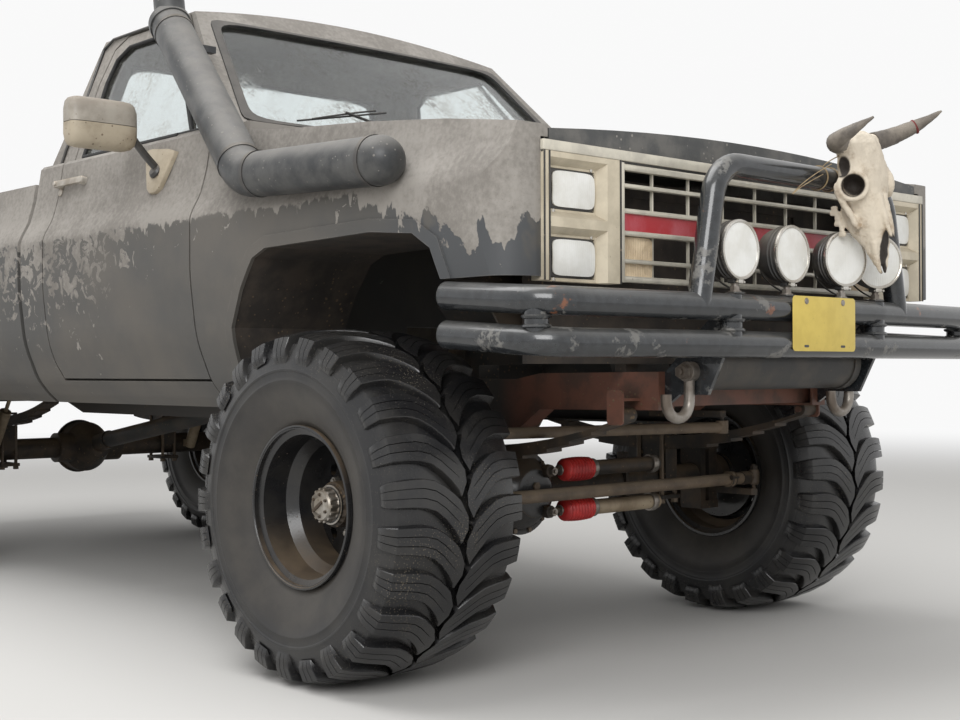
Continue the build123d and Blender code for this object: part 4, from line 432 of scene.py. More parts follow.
def paint_rubber(look):
    """Tyre rubber: brown dust on the sidewall, a damp tread with specks of mud."""
    shade = Shader("tyre_rubber")
    tread = shade.attribute("tread")
    fine = shade.grain(240.0, 3.0)
    patch = shade.grain(7.0, 8.0)
    specks = shade.drops(150.0, 0.62)
    dry = shade.times(shade.ramp(tread, 0.62, 0.30), shade.calc("MULTIPLY_ADD", patch, 0.50, 0.02))
    base = shade.mix(shade.ramp(patch, 0.40, 0.62), look.rubber, (0.024, 0.023, 0.022))
    dusty = shade.mix(dry, base, (0.092, 0.079, 0.063))
    wet = shade.ramp(tread, 0.45, 0.75)
    soiled = shade.times(shade.times(specks, wet), 0.75)
    shade.finish({
        "Base Color": shade.mix(soiled, dusty, (0.110, 0.092, 0.068)),
        "Roughness": shade.blend(wet, 0.52, 0.27),
        "Specular IOR Level": 0.5,
        "Normal": shade.bump(shade.calc("MULTIPLY_ADD", fine, 0.4, soiled), 0.0008, 0.8),
    })


def paint_glass(name, tint, dirt, rough=0.02):
    """Clear pane with a film of dust that thickens in patches."""
    shade = Shader(name)
    patch = shade.grain(5.0, 8.0)
    fine = shade.grain(60.0, 5.0)
    film = shade.times(shade.ramp(patch, 0.42, 0.75), shade.ramp(fine, 0.35, 0.7))
    shade.finish({
        "Base Color": shade.mix(film, tint, dirt),
        "Roughness": shade.blend(film, rough, 0.30),
        "Transmission Weight": 1.0,
        "IOR": 1.45,
    })


def paint_plain(name, ground, second, rough, metal, scale, bump, coat=0.0):
    """Clean material of two close colours with a fine grain."""
    shade = Shader(name)
    patch = shade.grain(scale, 6.0)
    fine = shade.grain(260.0, 3.0)
    shade.finish({
        "Base Color": shade.mix(shade.ramp(patch, 0.35, 0.68), ground, second),
        "Coat Weight": coat,
        "Metallic": metal,
        "Roughness": shade.blend(shade.ramp(patch, 0.3, 0.7), rough, min(1.0, rough + 0.18)),
        "Normal": shade.bump(fine, bump, 0.6),
    })


def paint_bone(look):
    """Bleached bone, browner in its hollows, with hairline cracks."""
    shade = Shader("bone")
    patch = shade.grain(18.0, 8.0)
    fine = shade.grain(120.0, 5.0)
    lying = shade.dust(0.35, 30.0)
    stain = shade.mix(shade.ramp(patch, 0.52, 0.74), look.bone, (0.33, 0.245, 0.16))
    pale = shade.mix(lying, stain, (0.75, 0.68, 0.57))
    shade.finish({
        # Painted shade: the bone goes near black where it lies deep in a socket
        "Base Color": shade.mix(shade.attribute("hollow"), pale, (0.020, 0.014, 0.010)),
        "Roughness": 0.72,
        "Normal": shade.bump(shade.calc("ADD", patch, shade.times(fine, 0.5)), 0.0022, 0.9),
    })


# Dirty metals, columns: name, two close colours, dirt, roughness, metallic, dust, drops, wear; a word
# in place of a colour is the name of one of the add-on's colours
METALS = [
    ("chassis_paint", (0.022, 0.021, 0.020), (0.045, 0.038, 0.030), "soil", 0.50, 0.0, 0.8, 0.45, 0.2),
    ("axle_iron", (0.030, 0.026, 0.022), (0.070, 0.050, 0.034), "soil", 0.62, 0.25, 0.8, 0.6),
    ("rusty_steel", (0.165, 0.085, 0.050), "rust", "soil", 0.75, 0.2, 0.6, 0.45),
    ("inner_sheet", (0.032, 0.027, 0.023), (0.060, 0.047, 0.037), "soil", 0.8, 0.0, 0.4, 0.5),
    ("damper_paint", (0.330, 0.265, 0.180), (0.200, 0.150, 0.095), "soil", 0.6, 0.0, 0.5, 0.5),
    ("boot_rubber", "boot", (0.36, 0.020, 0.020), "soil", 0.45, 0.0, 0.12, 0.3),
    ("bright_trim", (0.62, 0.60, 0.56), (0.48, 0.45, 0.40), (0.36, 0.31, 0.25), 0.24, 0.9, 0.5, 0.42),
    ("muddy_chrome", (0.50, 0.47, 0.42), (0.30, 0.26, 0.21), (0.40, 0.34, 0.27), 0.42, 0.55, 0.9, 0.7),
    ("bezel_trim", (0.62, 0.55, 0.42), (0.50, 0.44, 0.33), (0.36, 0.30, 0.22), 0.42, 0.0, 0.4, 0.22),
    ("linkage", (0.135, 0.098, 0.064), (0.075, 0.055, 0.038), (0.240, 0.190, 0.130), 0.62, 0.0, 0.6, 0.5),
    ("cover_paint", (0.016, 0.016, 0.017), (0.030, 0.028, 0.026), "soil", 0.24, 0.0, 0.55, 0.5),
    ("rim_paint", (0.014, 0.014, 0.015), (0.024, 0.023, 0.022), "soil", 0.22, 0.0, 0.55, 0.36),
    ("hub_metal", (0.46, 0.44, 0.41), (0.26, 0.23, 0.19), "soil", 0.40, 0.85, 0.4, 0.55),
    ("duct_plastic", (0.026, 0.028, 0.030), (0.072, 0.072, 0.070), (0.210, 0.198, 0.180), 0.42, 0.0, 0.6, 0.45),
    ("black_plastic", (0.020, 0.020, 0.020), (0.034, 0.033, 0.031), "mud_deep", 0.50, 0.0, 0.3, 0.1),
    ("plate_paint", "plate", (0.56, 0.42, 0.09), "soil", 0.42, 0.0, 0.1, 0.22),
    ("lamp_black", (0.030, 0.030, 0.030), (0.060, 0.055, 0.050), (0.20, 0.17, 0.13), 0.34, 0.0, 0.5, 0.3),
    ("hook_steel", (0.30, 0.275, 0.245), (0.13, 0.105, 0.085), "soil", 0.34, 0.6, 0.4, 0.45),
    ("ivory_trim", (0.66, 0.62, 0.52), (0.50, 0.47, 0.40), (0.32, 0.28, 0.22), 0.35, 0.25, 0.5, 0.22),
    ("hood_paint", (0.058, 0.060, 0.060), (0.125, 0.120, 0.111), "mud_pale", 0.45, 0.0, 0.35, 0.5),
    ("mirror_paint", (0.330, 0.300, 0.255), (0.235, 0.208, 0.172), (0.16, 0.12, 0.08), 0.45, 0.0, 0.4, 0.35),
    ("stripe_red", "stripe", (0.46, 0.085, 0.105), (0.44, 0.20, 0.19), 0.40, 0.0, 0.3, 0.2),
    ("tan_sheet", (0.42, 0.36, 0.27), (0.30, 0.25, 0.18), (0.14, 0.10, 0.065), 0.55, 0.0, 0.5, 0.55),
    ("dusty_rubber", (0.022, 0.022, 0.022), (0.045, 0.043, 0.040), (0.20, 0.18, 0.16), 0.60, 0.0, 0.4, 0.2),
]
# Clean materials, columns: name, two close colours, roughness, metallic, grain's scale, bump, coat
PLAINS = [
    ("seat_vinyl", (0.085, 0.070, 0.055), (0.125, 0.104, 0.082), 0.55, 0.0, 30.0, 0.0008),
    ("seal_rubber", (0.012, 0.012, 0.012), (0.020, 0.019, 0.018), 0.62, 0.0, 30.0, 0.0004),
    ("horn_keratin", (0.085, 0.072, 0.060), (0.230, 0.200, 0.165), 0.50, 0.0, 14.0, 0.001),
    ("white_lens", (0.80, 0.80, 0.77), (0.68, 0.67, 0.62), 0.10, 0.0, 9.0, 0.0001, 0.7),
    ("turn_lens", (0.66, 0.53, 0.36), (0.40, 0.30, 0.19), 0.18, 0.0, 14.0, 0.0001),
    ("tan_wire", (0.36, 0.27, 0.15), (0.22, 0.15, 0.08), 0.5, 0.0, 30.0, 0.0004),
    ("red_band", (0.20, 0.020, 0.018), (0.12, 0.014, 0.012), 0.5, 0.0, 30.0, 0.0004),
    ("red_lens", (0.46, 0.010, 0.008), (0.36, 0.008, 0.006), 0.16, 0.0, 60.0, 0.0004),
    ("mirror_silver", (0.86, 0.88, 0.88), (0.80, 0.82, 0.82), 0.04, 1.0, 4.0, 0.0),
]


@operator("Finishes")
def finishes():
    """Mix the shared effects and every finish"""
    look = bpy.context.scene.pickup_paint
    make_mud_coat()
    make_settled_dust()
    make_thrown_drops()
    make_grain()
    make_worn_edge()
    paint_body(look)
    paint_rubber(look)
    paint_bone(look)
    paint_bumper(look)
    paint_frame(look)
    paint_glass("clear_glass", (0.86, 0.90, 0.90), (0.50, 0.47, 0.42))
    paint_glass("lamp_glass", (0.95, 0.95, 0.93), (0.62, 0.57, 0.48), 0.06)
    for name, ground, second, dirt, *amounts in METALS:
        tones = (getattr(look, tone) if isinstance(tone, str) else tone for tone in (ground, second, dirt))
        dirty_metal(name, *tones, *amounts)
    for row in PLAINS:
        paint_plain(*row)


# Nodes that keep their shape, by finish
NODE_FINISHES = {
    "hood_paint": "hood",
    "body_paint": "cab_shell fenders cargo_bed tailgate door_left door_right",
    "frame_paint": "frame",
    "chassis_paint": "engine gearbox driveshafts air_tank steering_box rear_bumper",
    "inner_sheet": "radiator inner_fenders",
    "bumper_paint": "front_bumper",
    "axle_iron": "front_axle rear_axle leaf_springs knuckle_left knuckle_right pitman_arm",
    "linkage": "tie_rod drag_link exhaust",
    "damper_paint": "shock_absorbers",
    "bezel_trim": "headlamp_bezels",
    "rim_paint": "wheel_front_left wheel_front_right wheel_rear_left wheel_rear_right",
    "clear_glass": "cab_glass door_glass_left door_glass_right",
    "red_lens": "tail_lamps",
    "duct_plastic": "air_intake",
    "black_plastic": "dashboard steering_wheel",
}


@operator("Metalwork")
def metalwork():
    """Give each piece that keeps its shape its finish"""
    for finish, names in NODE_FINISHES.items():
        for name in names.split():
            NODES[name].data.materials.clear()
            NODES[name].data.materials.append(FINISHES[finish])


def chain(bm, points):
    """Open line of edges through points."""
    verts = [bm.verts.new(point) for point in points]
    edges = [bm.edges.new(ends) for ends in zip(verts, verts[1:])]
    return verts, edges


def spun(bm, profile, centre, axis, steps):
    """Profile of (distance along the axis, radius) spun all round."""
    axis = Vector(axis).normalized()
    across = axis.orthogonal().normalized()
    points = [Vector(centre) + axis * offset + across * radius for offset, radius in profile]
    verts, edges = chain(bm, points)
    bmesh.ops.spin(bm, geom=verts + edges, cent=Vector(centre), axis=axis, angle=FULL_TURN, steps=steps,
                   use_merge=True)


def piece(name, bm, finishes, body, sharp=35.0):
    """Finished object from a bmesh: normals out, smooth between sharp edges, riding on its body."""
    bmesh.ops.remove_doubles(bm, verts=bm.verts, dist=0.00002)
    bmesh.ops.recalc_face_normals(bm, faces=bm.faces)
    for face in bm.faces:
        face.smooth = True
    limit = math.radians(sharp)
    for edge in bm.edges:
        edge.smooth = not (len(edge.link_faces) == 2 and edge.calc_face_angle(0.0) > limit)
    mesh = bpy.data.meshes.new(name)
    bm.to_mesh(mesh)
    bm.free()
    made = bpy.data.objects.new(name, mesh)
    bpy.context.scene.collection.objects.link(made)
    for finish in finishes:
        mesh.materials.append(FINISHES[finish])
    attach(made, body)
    return made


def facing(origin, normal, above=(0, 0, 1)):
    """Place in the car's millimetres (station, left, height) whose Z looks out and whose Y looks up."""
    out = Vector(normal).normalized()
    right = Vector(above).cross(out).normalized()
    turn = Matrix((right, out.cross(right), out)).transposed().to_4x4()
    return CAR @ Matrix.Translation(origin) @ turn


def frontal(station, side, height):
    """Place in the car's millimetres that looks ahead."""
    return facing((station, side, height), (1, 0, 0))


def shifted(place, x, y, z):
    """Place moved along its own axes."""
    return place @ Matrix.Translation((x, y, z))


def added(bm, part, place=CAR, finish=0):
    """Adds a small shape in millimetres to a larger one, at a place and in one of its finishes."""
    for face in part.faces:
        face.material_index = finish
    part.transform(place)
    mesh = bpy.data.meshes.new("part")
    part.to_mesh(mesh)
    part.free()
    bm.from_mesh(mesh)
    bpy.data.meshes.remove(mesh)


def turned(profile, steps=32):
    """Shape spun about Z from a profile of (radius, height) in millimetres."""
    bm = bmesh.new()
    verts, edges = chain(bm, [(radius, 0.0, height) for radius, height in profile])
    bmesh.ops.spin(bm, geom=verts + edges, cent=(0, 0, 0), axis=(0, 0, 1), angle=FULL_TURN, steps=steps,
                   use_merge=True)
    bmesh.ops.remove_doubles(bm, verts=bm.verts, dist=0.01)
    return bm


def disc(radius, low, high, steps=24):
    """Round plate about Z from a low to a high level, in millimetres."""
    return turned([(0, low), (radius, low), (radius, high), (0, high)], steps)


def rounded(width, height, corner):
    """Flat rounded rectangle facing +Z, in millimetres."""
    bm = bmesh.new()
    bmesh.ops.create_grid(bm, x_segments=1, y_segments=1, size=0.5)
    bmesh.ops.scale(bm, vec=(width, height, 1.0), verts=bm.verts)
    if corner:
        bmesh.ops.bevel(bm, geom=bm.verts[:], offset=corner, offset_type="OFFSET", affect="VERTICES",
                        segments=5, profile=0.5, material=-1)
    return bm


def raised(bm, depth, edge=0.0):
    """Gives a flat shape a thickness towards +Z, with its front edges rounded."""
    made = bmesh.ops.extrude_face_region(bm, geom=bm.faces[:])["geom"]
    top = [item for item in made if isinstance(item, bmesh.types.BMVert)]
    bmesh.ops.translate(bm, vec=(0, 0, depth), verts=top)
    if edge:
        front = set(top)
        rim = [item for item in bm.edges if all(vert in front for vert in item.verts)
               and any(not all(vert in front for vert in face.verts) for face in item.link_faces)]
        bmesh.ops.bevel(bm, geom=rim, offset=edge, offset_type="OFFSET", affect="EDGES", segments=2,
                        profile=0.5, material=-1)
    return bm


def tile(width, height, corner, depth, edge=0.0):
    """Rounded rectangular block with its back at Z = 0, in millimetres."""
    return raised(rounded(width, height, corner), depth, edge)


def surround(width, height, corner, wall, depth, edge=0.0):
    """Rounded rectangular ring with its back at Z = 0, in millimetres."""
    bm = rounded(width, height, corner)
    inner = bm.faces[:]
    bmesh.ops.inset_region(bm, faces=inner, thickness=wall, use_even_offset=True)
    bmesh.ops.delete(bm, geom=inner, context="FACES_ONLY")
    return raised(bm, depth, edge)


def plate(points, depth, edge=0.0):
    """Plate with a straight-sided outline in millimetres, its back at Z = 0."""
    bm = bmesh.new()
    bmesh.ops.contextual_create(bm, geom=[bm.verts.new((x, y, 0.0)) for x, y in points])
    return raised(bm, depth, edge)


def nut(width, height, hole=0.0):
    """Hexagonal head standing on Z = 0, in millimetres across its flats."""
    bm = bmesh.new()
    reach = width / 2 / math.cos(math.radians(30))
    bmesh.ops.create_cone(bm, cap_ends=True, segments=6, radius1=reach, radius2=reach, depth=height,
                          matrix=Matrix.Translation((0, 0, height / 2)))
    if hole:
        added(bm, turned([(0, height), (hole, height), (hole, height + 6), (0, height + 7)], 12), UNMOVED)
    return bm


def bar(points, radius, radii=None, round_line=True, detail=3):
    """Round bar along points in millimetres, with a radius at each point where it tapers."""
    line = bpy.data.curves.new("line", "CURVE")
    line.dimensions = "3D"
    line.bevel_depth = radius
    line.bevel_resolution = detail
    line.use_fill_caps = True
    spline = line.splines.new("NURBS" if round_line else "POLY")
    spline.points.add(len(points) - 1)
    for index, point in enumerate(points):
        spline.points[index].co = (*point, 1.0)
        spline.points[index].radius = radii[index] / radius if radii else 1.0
    if round_line:
        spline.order_u = min(4, len(points))
        spline.use_endpoint_u = True
        spline.resolution_u = 8
    holder = bpy.data.objects.new("line", line)
    mesh = bpy.data.meshes.new_from_object(holder)
    bm = bmesh.new()
    bm.from_mesh(mesh)
    bpy.data.objects.remove(holder)
    bpy.data.curves.remove(line)
    bpy.data.meshes.remove(mesh)
    return bm


def fluted(width, height, power, crown, pitch, depth, thick=4.0):
    """Crowned lens with upright flutes facing +Z; a power of 2 makes it round, more makes it squarer."""
    bm = bmesh.new()
    bmesh.ops.create_grid(bm, x_segments=int(4 * width / pitch), y_segments=16, size=1.0)
    for vert in bm.verts:
        x, y = vert.co.x, vert.co.y
        reach = (abs(x) ** power + abs(y) ** power) ** (1 / power)
        drawn = max(abs(x), abs(y)) / reach if reach else 1.0
        x, y = x * drawn, y * drawn
        flute = abs(math.cos(math.pi * x * width / 2 / pitch))
        vert.co = (x * width / 2, y * height / 2, crown * (1 - (x * x + y * y) / 2) + depth * flute)
    return raised(bm, -thick)


def mirrored(bm):
    """Copy of a bmesh on the other side of the car."""
    other = bm.copy()
    bmesh.ops.scale(other, vec=(1, -1, 1), verts=other.verts)
    bmesh.ops.reverse_faces(other, faces=other.faces)
    return other


def pair(name, bm, finishes, body):
    """Piece on the right side and its mirror image on the left."""
    other = mirrored(bm)
    sides = [("right", bm), ("left", other)]
    return [piece(name + "_" + side, shape, finishes, body.format(side))
            for side, shape in sides]


# Tyre carcass from the bead to the middle, columns: offset from the middle, radius
CARCASS = [
    (163.5, 209.5), (170, 226), (185, 246), (203, 280), (216, 318), (222, 343), (225.5, 347), (226.5, 351),
    (225.5, 355), (224, 359), (225, 374), (227.5, 377), (227.8, 381), (225.5, 385), (224, 396), (220, 408),
    (214, 430), (203, 450), (175, 460), (135, 465), (98, 466), (62, 467), (20, 467),
]
# Lug from the middle to the sidewall, columns: floor offset, floor radius, top offset, top radius,
# sweep along the tread, half width, depth of the sipes
LUG_STATIONS = [
    (0, 467, 0, 491.8, 88, 51, 0.0),
    (22, 467, 22, 491.8, 74, 50, 0.0),
    (46, 467, 46, 491.5, 54, 46.5, 0.3),
    (74, 467, 74, 490.5, 30, 42.5, 0.8),
    (104, 466, 104, 489, 11, 39.5, 1.0),
    (138, 465, 138, 487, 2, 37.5, 1.0),
    (176, 460, 178, 480, 0, 36, 1.0),
    (203, 450, 216, 469, 0, 35, 1.0),
    (214, 430, 227.2, 438, 0, 33, 1.0),
    (220, 408, 228.3, 414, 0, 31, 0.7),
    (224, 396, 225.4, 398, 0, 28, 0.0),
]
# Section across a lug, columns: place across its half width, height from floor to top, in a sipe
LUG_SECTION = [
    (-1.14, -0.08, 0), (-1.03, 0.88, 0), (-0.97, 1.0, 0), (-0.375, 1.0, 0), (-0.360, 1.0, 1), (-0.325, 1.0, 1),
    (-0.310, 1.0, 0), (0.310, 1.0, 0), (0.325, 1.0, 1), (0.360, 1.0, 1), (0.375, 1.0, 0), (0.97, 1.0, 0),
    (1.03, 0.88, 0), (1.14, -0.08, 0),
]
SIPE_DEPTH = 0.5
SHORT_LUG_RISE = 15.0


def lug(bm, sizes, side, turn, short):
    """One lug: its section swept from the middle groove over the shoulder onto the sidewall."""
    rows = []
    for index, (floor_y, floor_r, top_y, top_r, sweep, half, sipe) in enumerate(LUG_STATIONS):
        if short and index >= len(LUG_STATIONS) - 2:
            floor_r += SHORT_LUG_RISE
            top_r += SHORT_LUG_RISE
        row = []
        for across, height, in_sipe in LUG_SECTION:
            level = height - (SIPE_DEPTH * sipe if in_sipe else 0.0)
            offset = floor_y + (top_y - floor_y) * level
            radius = floor_r + (top_r - floor_r) * level
            if index < 2:
                zigzag = sizes.zigzag / MM * (2 * abs(across) - 1)
                offset += (zigzag + sizes.groove / MM) * (1.0 if index == 0 else 0.25)
            angle = turn + (sweep + across * half) / LUG_STATIONS[0][3]
            row.append(Vector((math.sin(angle) * radius, side * offset, math.cos(angle) * radius)) * MM)
        rows.append(row)
    verts, edges = chain(bm, rows[0])
    first = list(verts)
    for row in rows[1:]:
        made = bmesh.ops.extrude_edge_only(bm, edges=edges)["geom"]
        edges = [item for item in made if isinstance(item, bmesh.types.BMEdge)
                 and all(vert not in verts for vert in item.verts)]
        fresh = {vert for edge in edges for vert in edge.verts}
        moved = [None] * len(row)
        for old_index, old in enumerate(verts):
            for edge in old.link_edges:
                other = edge.other_vert(old)
                if other in fresh:
                    moved[old_index] = other
        for vert, place in zip(moved, row):
            vert.co = place
        verts = moved
    bmesh.ops.contextual_create(bm, geom=first)
    bmesh.ops.contextual_create(bm, geom=verts)


def tyre_mesh(sizes):
    """Mud tyre about the origin, its axis along Y."""
    bm = bmesh.new()
    half = [(offset * MM, radius * MM) for offset, radius in CARCASS]
    profile = half + [(-offset, radius) for offset, radius in reversed(half)]
    spun(bm, profile, (0, 0, 0), (0, 1, 0), 104)
    pitch = FULL_TURN / sizes.lugs
    for side in (1, -1):
        for number in range(sizes.lugs):
            lug(bm, sizes, side, (number + (0.5 if side < 0 else 0.0)) * pitch, number % 2 == 1)
    return bm


@operator("Tyres")
def tyres():
    """Build the four mud tyres"""
    sizes = bpy.context.scene.pickup_tyre
    for number, place in enumerate(WHEELS):
        low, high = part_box("tyre_" + place)
        bm = tyre_mesh(sizes)
        layer = bm.verts.layers.float.new("tread")
        for vert in bm.verts:
            radius = math.hypot(vert.co.x, vert.co.z)
            vert[layer] = min(1.0, max(0.0, (radius - 0.209) / 0.283))
        bmesh.ops.rotate(bm, verts=bm.verts, cent=(0, 0, 0),
                         matrix=Matrix.Rotation(0.31 * number + 0.05, 3, "Y"))
        bmesh.ops.translate(bm, verts=bm.verts, vec=(low + high) / 2)
        made = piece("mud_tyre_" + place, bm, ["tyre_rubber"], "wheel_" + place, sharp=28.0)
        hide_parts("tyre_" + place)


# Driving lamps on the upper tube, columns: distance left of the middle, yaw in degrees
DRIVING_LAMPS = [(-320, 0), (-86, 0), (181, -14), (361, -26)]
# Places in the car's millimetres: stations ahead of the front axle, sides left of the middle, heights
# above the rocker
LAMP_STATION = 905.0
LAMP_HEIGHT = 434.0
LAMP_BASE = 318.0
STUD_GAP = 74.0
HEADLAMP_ROWS = (572.0, 400.0)
HEADLAMP_SIDE = 760.0
HEADLAMP_FACE = 733.0
TURN_LAMP_SIDE = 526.0
TURN_LAMP_HEIGHT = 411.0
FRAME_HEIGHT = 500.0
BEZEL_SIDE = 746.5
BEZEL_INNER = 606.2
GRILLE_FACE = 757.0
PLATE_STATION = 949.0
PLATE_SIDE = 30.0
PLATE_HEIGHT = 243.0
HOOK_STATION = 800.0
HOOK_SIDE = 382.0
HOOK_PIN = 112.0
HOOK_BEND = 48.0
HOOK_LEVEL = 36.0
DIFF_SIDE = -310.0
REAR_AXLE = -3340.0
AXLE_HEIGHT = -258.0
SPRING_SIDE = 430.0
U_BOLT_HALF = 34.0
TIE_ROD_STATION = 220.0
DAMPER_STATION = 150.0
DAMPER_MOUNT = 213.0
WHEEL_NUTS = 8
NUT_CIRCLE = 84
HUB_FINGERS = 14
CAP_SCREWS = 6


def lamp_foot(bm, side):
    """Stud with its saddle, washers and nuts, and the lead to the lamp's back."""
    base = LAMP_BASE
    upright = facing((LAMP_STATION, side, base), (0, 0, 1), (1, 0, 0))
    added(bm, tile(44, 34, 5, 5, 1.0), upright, 0)
    added(bm, turned([(0, 0), (9, 0), (9, LAMP_HEIGHT - base - STUD_GAP), (0, LAMP_HEIGHT - base - STUD_GAP)],
                     14), upright, 3)
    added(bm, disc(17, 5, 8, 20), upright, 3)
    added(bm, nut(24, 12), shifted(upright, 0, 0, 8), 3)
    added(bm, nut(22, 9), shifted(upright, 0, 0, 26), 3)
    added(bm, tile(36, 13, 4, 20, 2.0), frontal(LAMP_STATION - 10, side, LAMP_HEIGHT - 82), 0)
    added(bm, bar([
        (LAMP_STATION - 70, side, LAMP_HEIGHT - 6), (LAMP_STATION - 104, side + 4, LAMP_HEIGHT - 30),
        (LAMP_STATION - 84, side + 22, base + 38), (LAMP_STATION - 22, side + 34, base + 8),
        (LAMP_STATION - 12, side + 62, base + 3),
    ], 2.6), CAR, 0)


@operator("Driving lamps")
def driving_lamps():
    """Build the four driving lamps on the upper bumper tube"""
    bm = bmesh.new()
    bowl = [(0, -76), (22, -76), (38, -73), (54, -65), (66, -50), (73, -34), (75.5, -22), (76, -14), (79, -12),
            (79.5, -9), (77, -7), (76.5, -3), (79, -1), (79.5, 2), (77, 4), (76.5, 8), (79, 10), (79, 14),
            (0, 14)]
    rim = [(71, 15), (77, 12.5), (80, 14.5), (80.5, 19), (79, 23), (75.5, 24.5), (72.5, 22.5), (71, 18.5),
           (71, 15)]
    for side, yaw in DRIVING_LAMPS:
        turn = math.radians(yaw)
        place = facing((LAMP_STATION, side, LAMP_HEIGHT), (math.cos(turn), math.sin(turn), 0))
        added(bm, turned(bowl, 56), place)
        added(bm, turned(rim, 56), place, 1)
        added(bm, fluted(144, 144, 2, 8.0, 6.2, 0.6), shifted(place, 0, 0, 15.5), 2)
        clamp = shifted(place, 0, -83, 18)
        added(bm, tile(20, 12, 3, 9, 1.0), shifted(clamp, 0, 0, -6), 1)
        added(bm, bar([(-14, -2, -2), (14, -2, -2)], 2.6, round_line=False), clamp, 1)
        added(bm, nut(8, 5), shifted(clamp, 14, -2, -2) @ Matrix.Rotation(math.pi / 2, 4, "Y"), 1)
        lamp_foot(bm, side)
    made = piece("driving_lamp_set", bm, ["lamp_black", "bright_trim", "white_lens", "hook_steel"], "chassis")
    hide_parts("driving_lamps")


def front_frames():
    """Bright frame round each bezel and the strip over the whole front."""
    bm = bmesh.new()
    face = GRILLE_FACE
    for side in (1, -1):
        place = frontal(face, side * BEZEL_SIDE, FRAME_HEIGHT)
        added(bm, surround(280, 320, 5, 6, 5, 1.5), place, 0)
        added(bm, surround(262, 302, 4, 3, 2.5, 0.5), place, 1)
        added(bm, tile(5, 322, 1, 3, 0.5), frontal(face, side * BEZEL_INNER, FRAME_HEIGHT), 1)
        added(bm, tile(13, 312, 2, 5, 1.5), frontal(face - 2, side * 599, FRAME_HEIGHT), 0)
        # Painted shade: thin black strips stand for the shade in each bezel's two grooves
        for groove in (869, 887):
            added(bm, tile(4, 320, 1, 3.2, 0.5), frontal(face, side * groove, FRAME_HEIGHT), 1)
    added(bm, tile(1780, 27, 3, 12, 2.5), frontal(face - 10, 0, 674), 0)
    added(bm, tile(1776, 5, 1, 6), frontal(face - 10, 0, 658.5), 1)
    piece("front_frames", bm, ["ivory_trim", "lamp_black"], "chassis")


@operator("Headlamps")
def headlamps():
    """Build the four headlamps, the two ribbed turn lamps and the bright frames round them"""
    bm = bmesh.new()
    for side in (1, -1):
        for height in HEADLAMP_ROWS:
            place = frontal(HEADLAMP_FACE, side * HEADLAMP_SIDE, height)
            added(bm, tile(164, 102, 14, 26, 2), shifted(place, 0, 0, -28), 0)
            added(bm, surround(165, 103, 17, 6.5, 9, 2.2), shifted(place, 0, 0, -2), 1)
            added(bm, fluted(153, 91, 7, 8.0, 7.5, 0.7), shifted(place, 0, 0, 1), 2)
            for across, up_by in ((70, 57), (-70, -57)):
                added(bm, turned([(0, 0), (6, 0), (6, 3), (3, 4), (0, 4)], 14),
                      shifted(place, across, up_by, -3), 1)
        place = frontal(GRILLE_FACE - 14, side * TURN_LAMP_SIDE, TURN_LAMP_HEIGHT)
        added(bm, tile(128, 112, 5, 14), shifted(place, 0, 0, -20), 0)
        added(bm, fluted(126, 110, 12, 3.0, 7.0, 1.6, 3.0), shifted(place, 0, 0, -4), 3)
    made = piece("headlamp_set", bm, ["lamp_black", "bright_trim", "white_lens", "turn_lens"], "chassis")
    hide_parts("headlamps")
    front_frames()


# Bars across the grille, columns: height, thickness
GRILLE_BARS = [(646, 17), (598, 11), (532, 13), (474, 13), (401, 11), (354, 16)]
GRILLE_HALF = 606.0
GRILLE_PITCH = 152.0
STRIPE_HEIGHT = 503.0


@operator("Grille")
def grille():
    """Build the open grille: ivory bars over thin uprights, with the red middle band"""
    bm = bmesh.new()
    middle = sum(height for height, _thick in GRILLE_BARS[::5]) / 2
    for height, thick in GRILLE_BARS:
        added(bm, tile(2 * GRILLE_HALF - 6, thick, 2, 16, 2.5), frontal(GRILLE_FACE - 19, 0, height), 0)
    for side in (1, -1):
        added(bm, tile(14, 308, 3, 30, 2.0), frontal(GRILLE_FACE - 32, side * 598, middle), 0)
    for number in range(-3, 4):
        added(bm, tile(5, 300, 1, 9, 1.0), frontal(GRILLE_FACE - 27, number * GRILLE_PITCH, middle), 0)
    added(bm, tile(2 * GRILLE_HALF - 30, 48, 1, 6), frontal(GRILLE_FACE - 17, 0, STRIPE_HEIGHT), 1)
    made = piece("open_grille", bm, ["ivory_trim", "stripe_red"], "chassis")
    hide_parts("grille")


@operator("Number plate")
def number_plate():
    """Build the blank plate on the bumper, with its border, slots and screws"""
    bm = bmesh.new()
    place = frontal(PLATE_STATION, PLATE_SIDE, PLATE_HEIGHT)
    added(bm, tile(305, 152, 12, 1.6, 0.5), place)
    added(bm, surround(297, 144, 9, 3.5, 2.6, 0.8), place)
    for across in (-89, 89):
        added(bm, turned([(0, 1), (9, 1), (9, 2.6), (7, 4.5), (0, 5)], 18), shifted(place, across, 62, 0), 1)
        added(bm, tile(22, 7, 3.4, 2.0), shifted(place, across, -62, 0), 2)
    for across in (-60, 60):
        added(bm, tile(24, 150, 3, 3, 0.5), shifted(place, across, 0, -4), 2)
    piece("number_plate", bm, ["plate_paint", "hook_steel", "lamp_black"], "chassis", sharp=30)


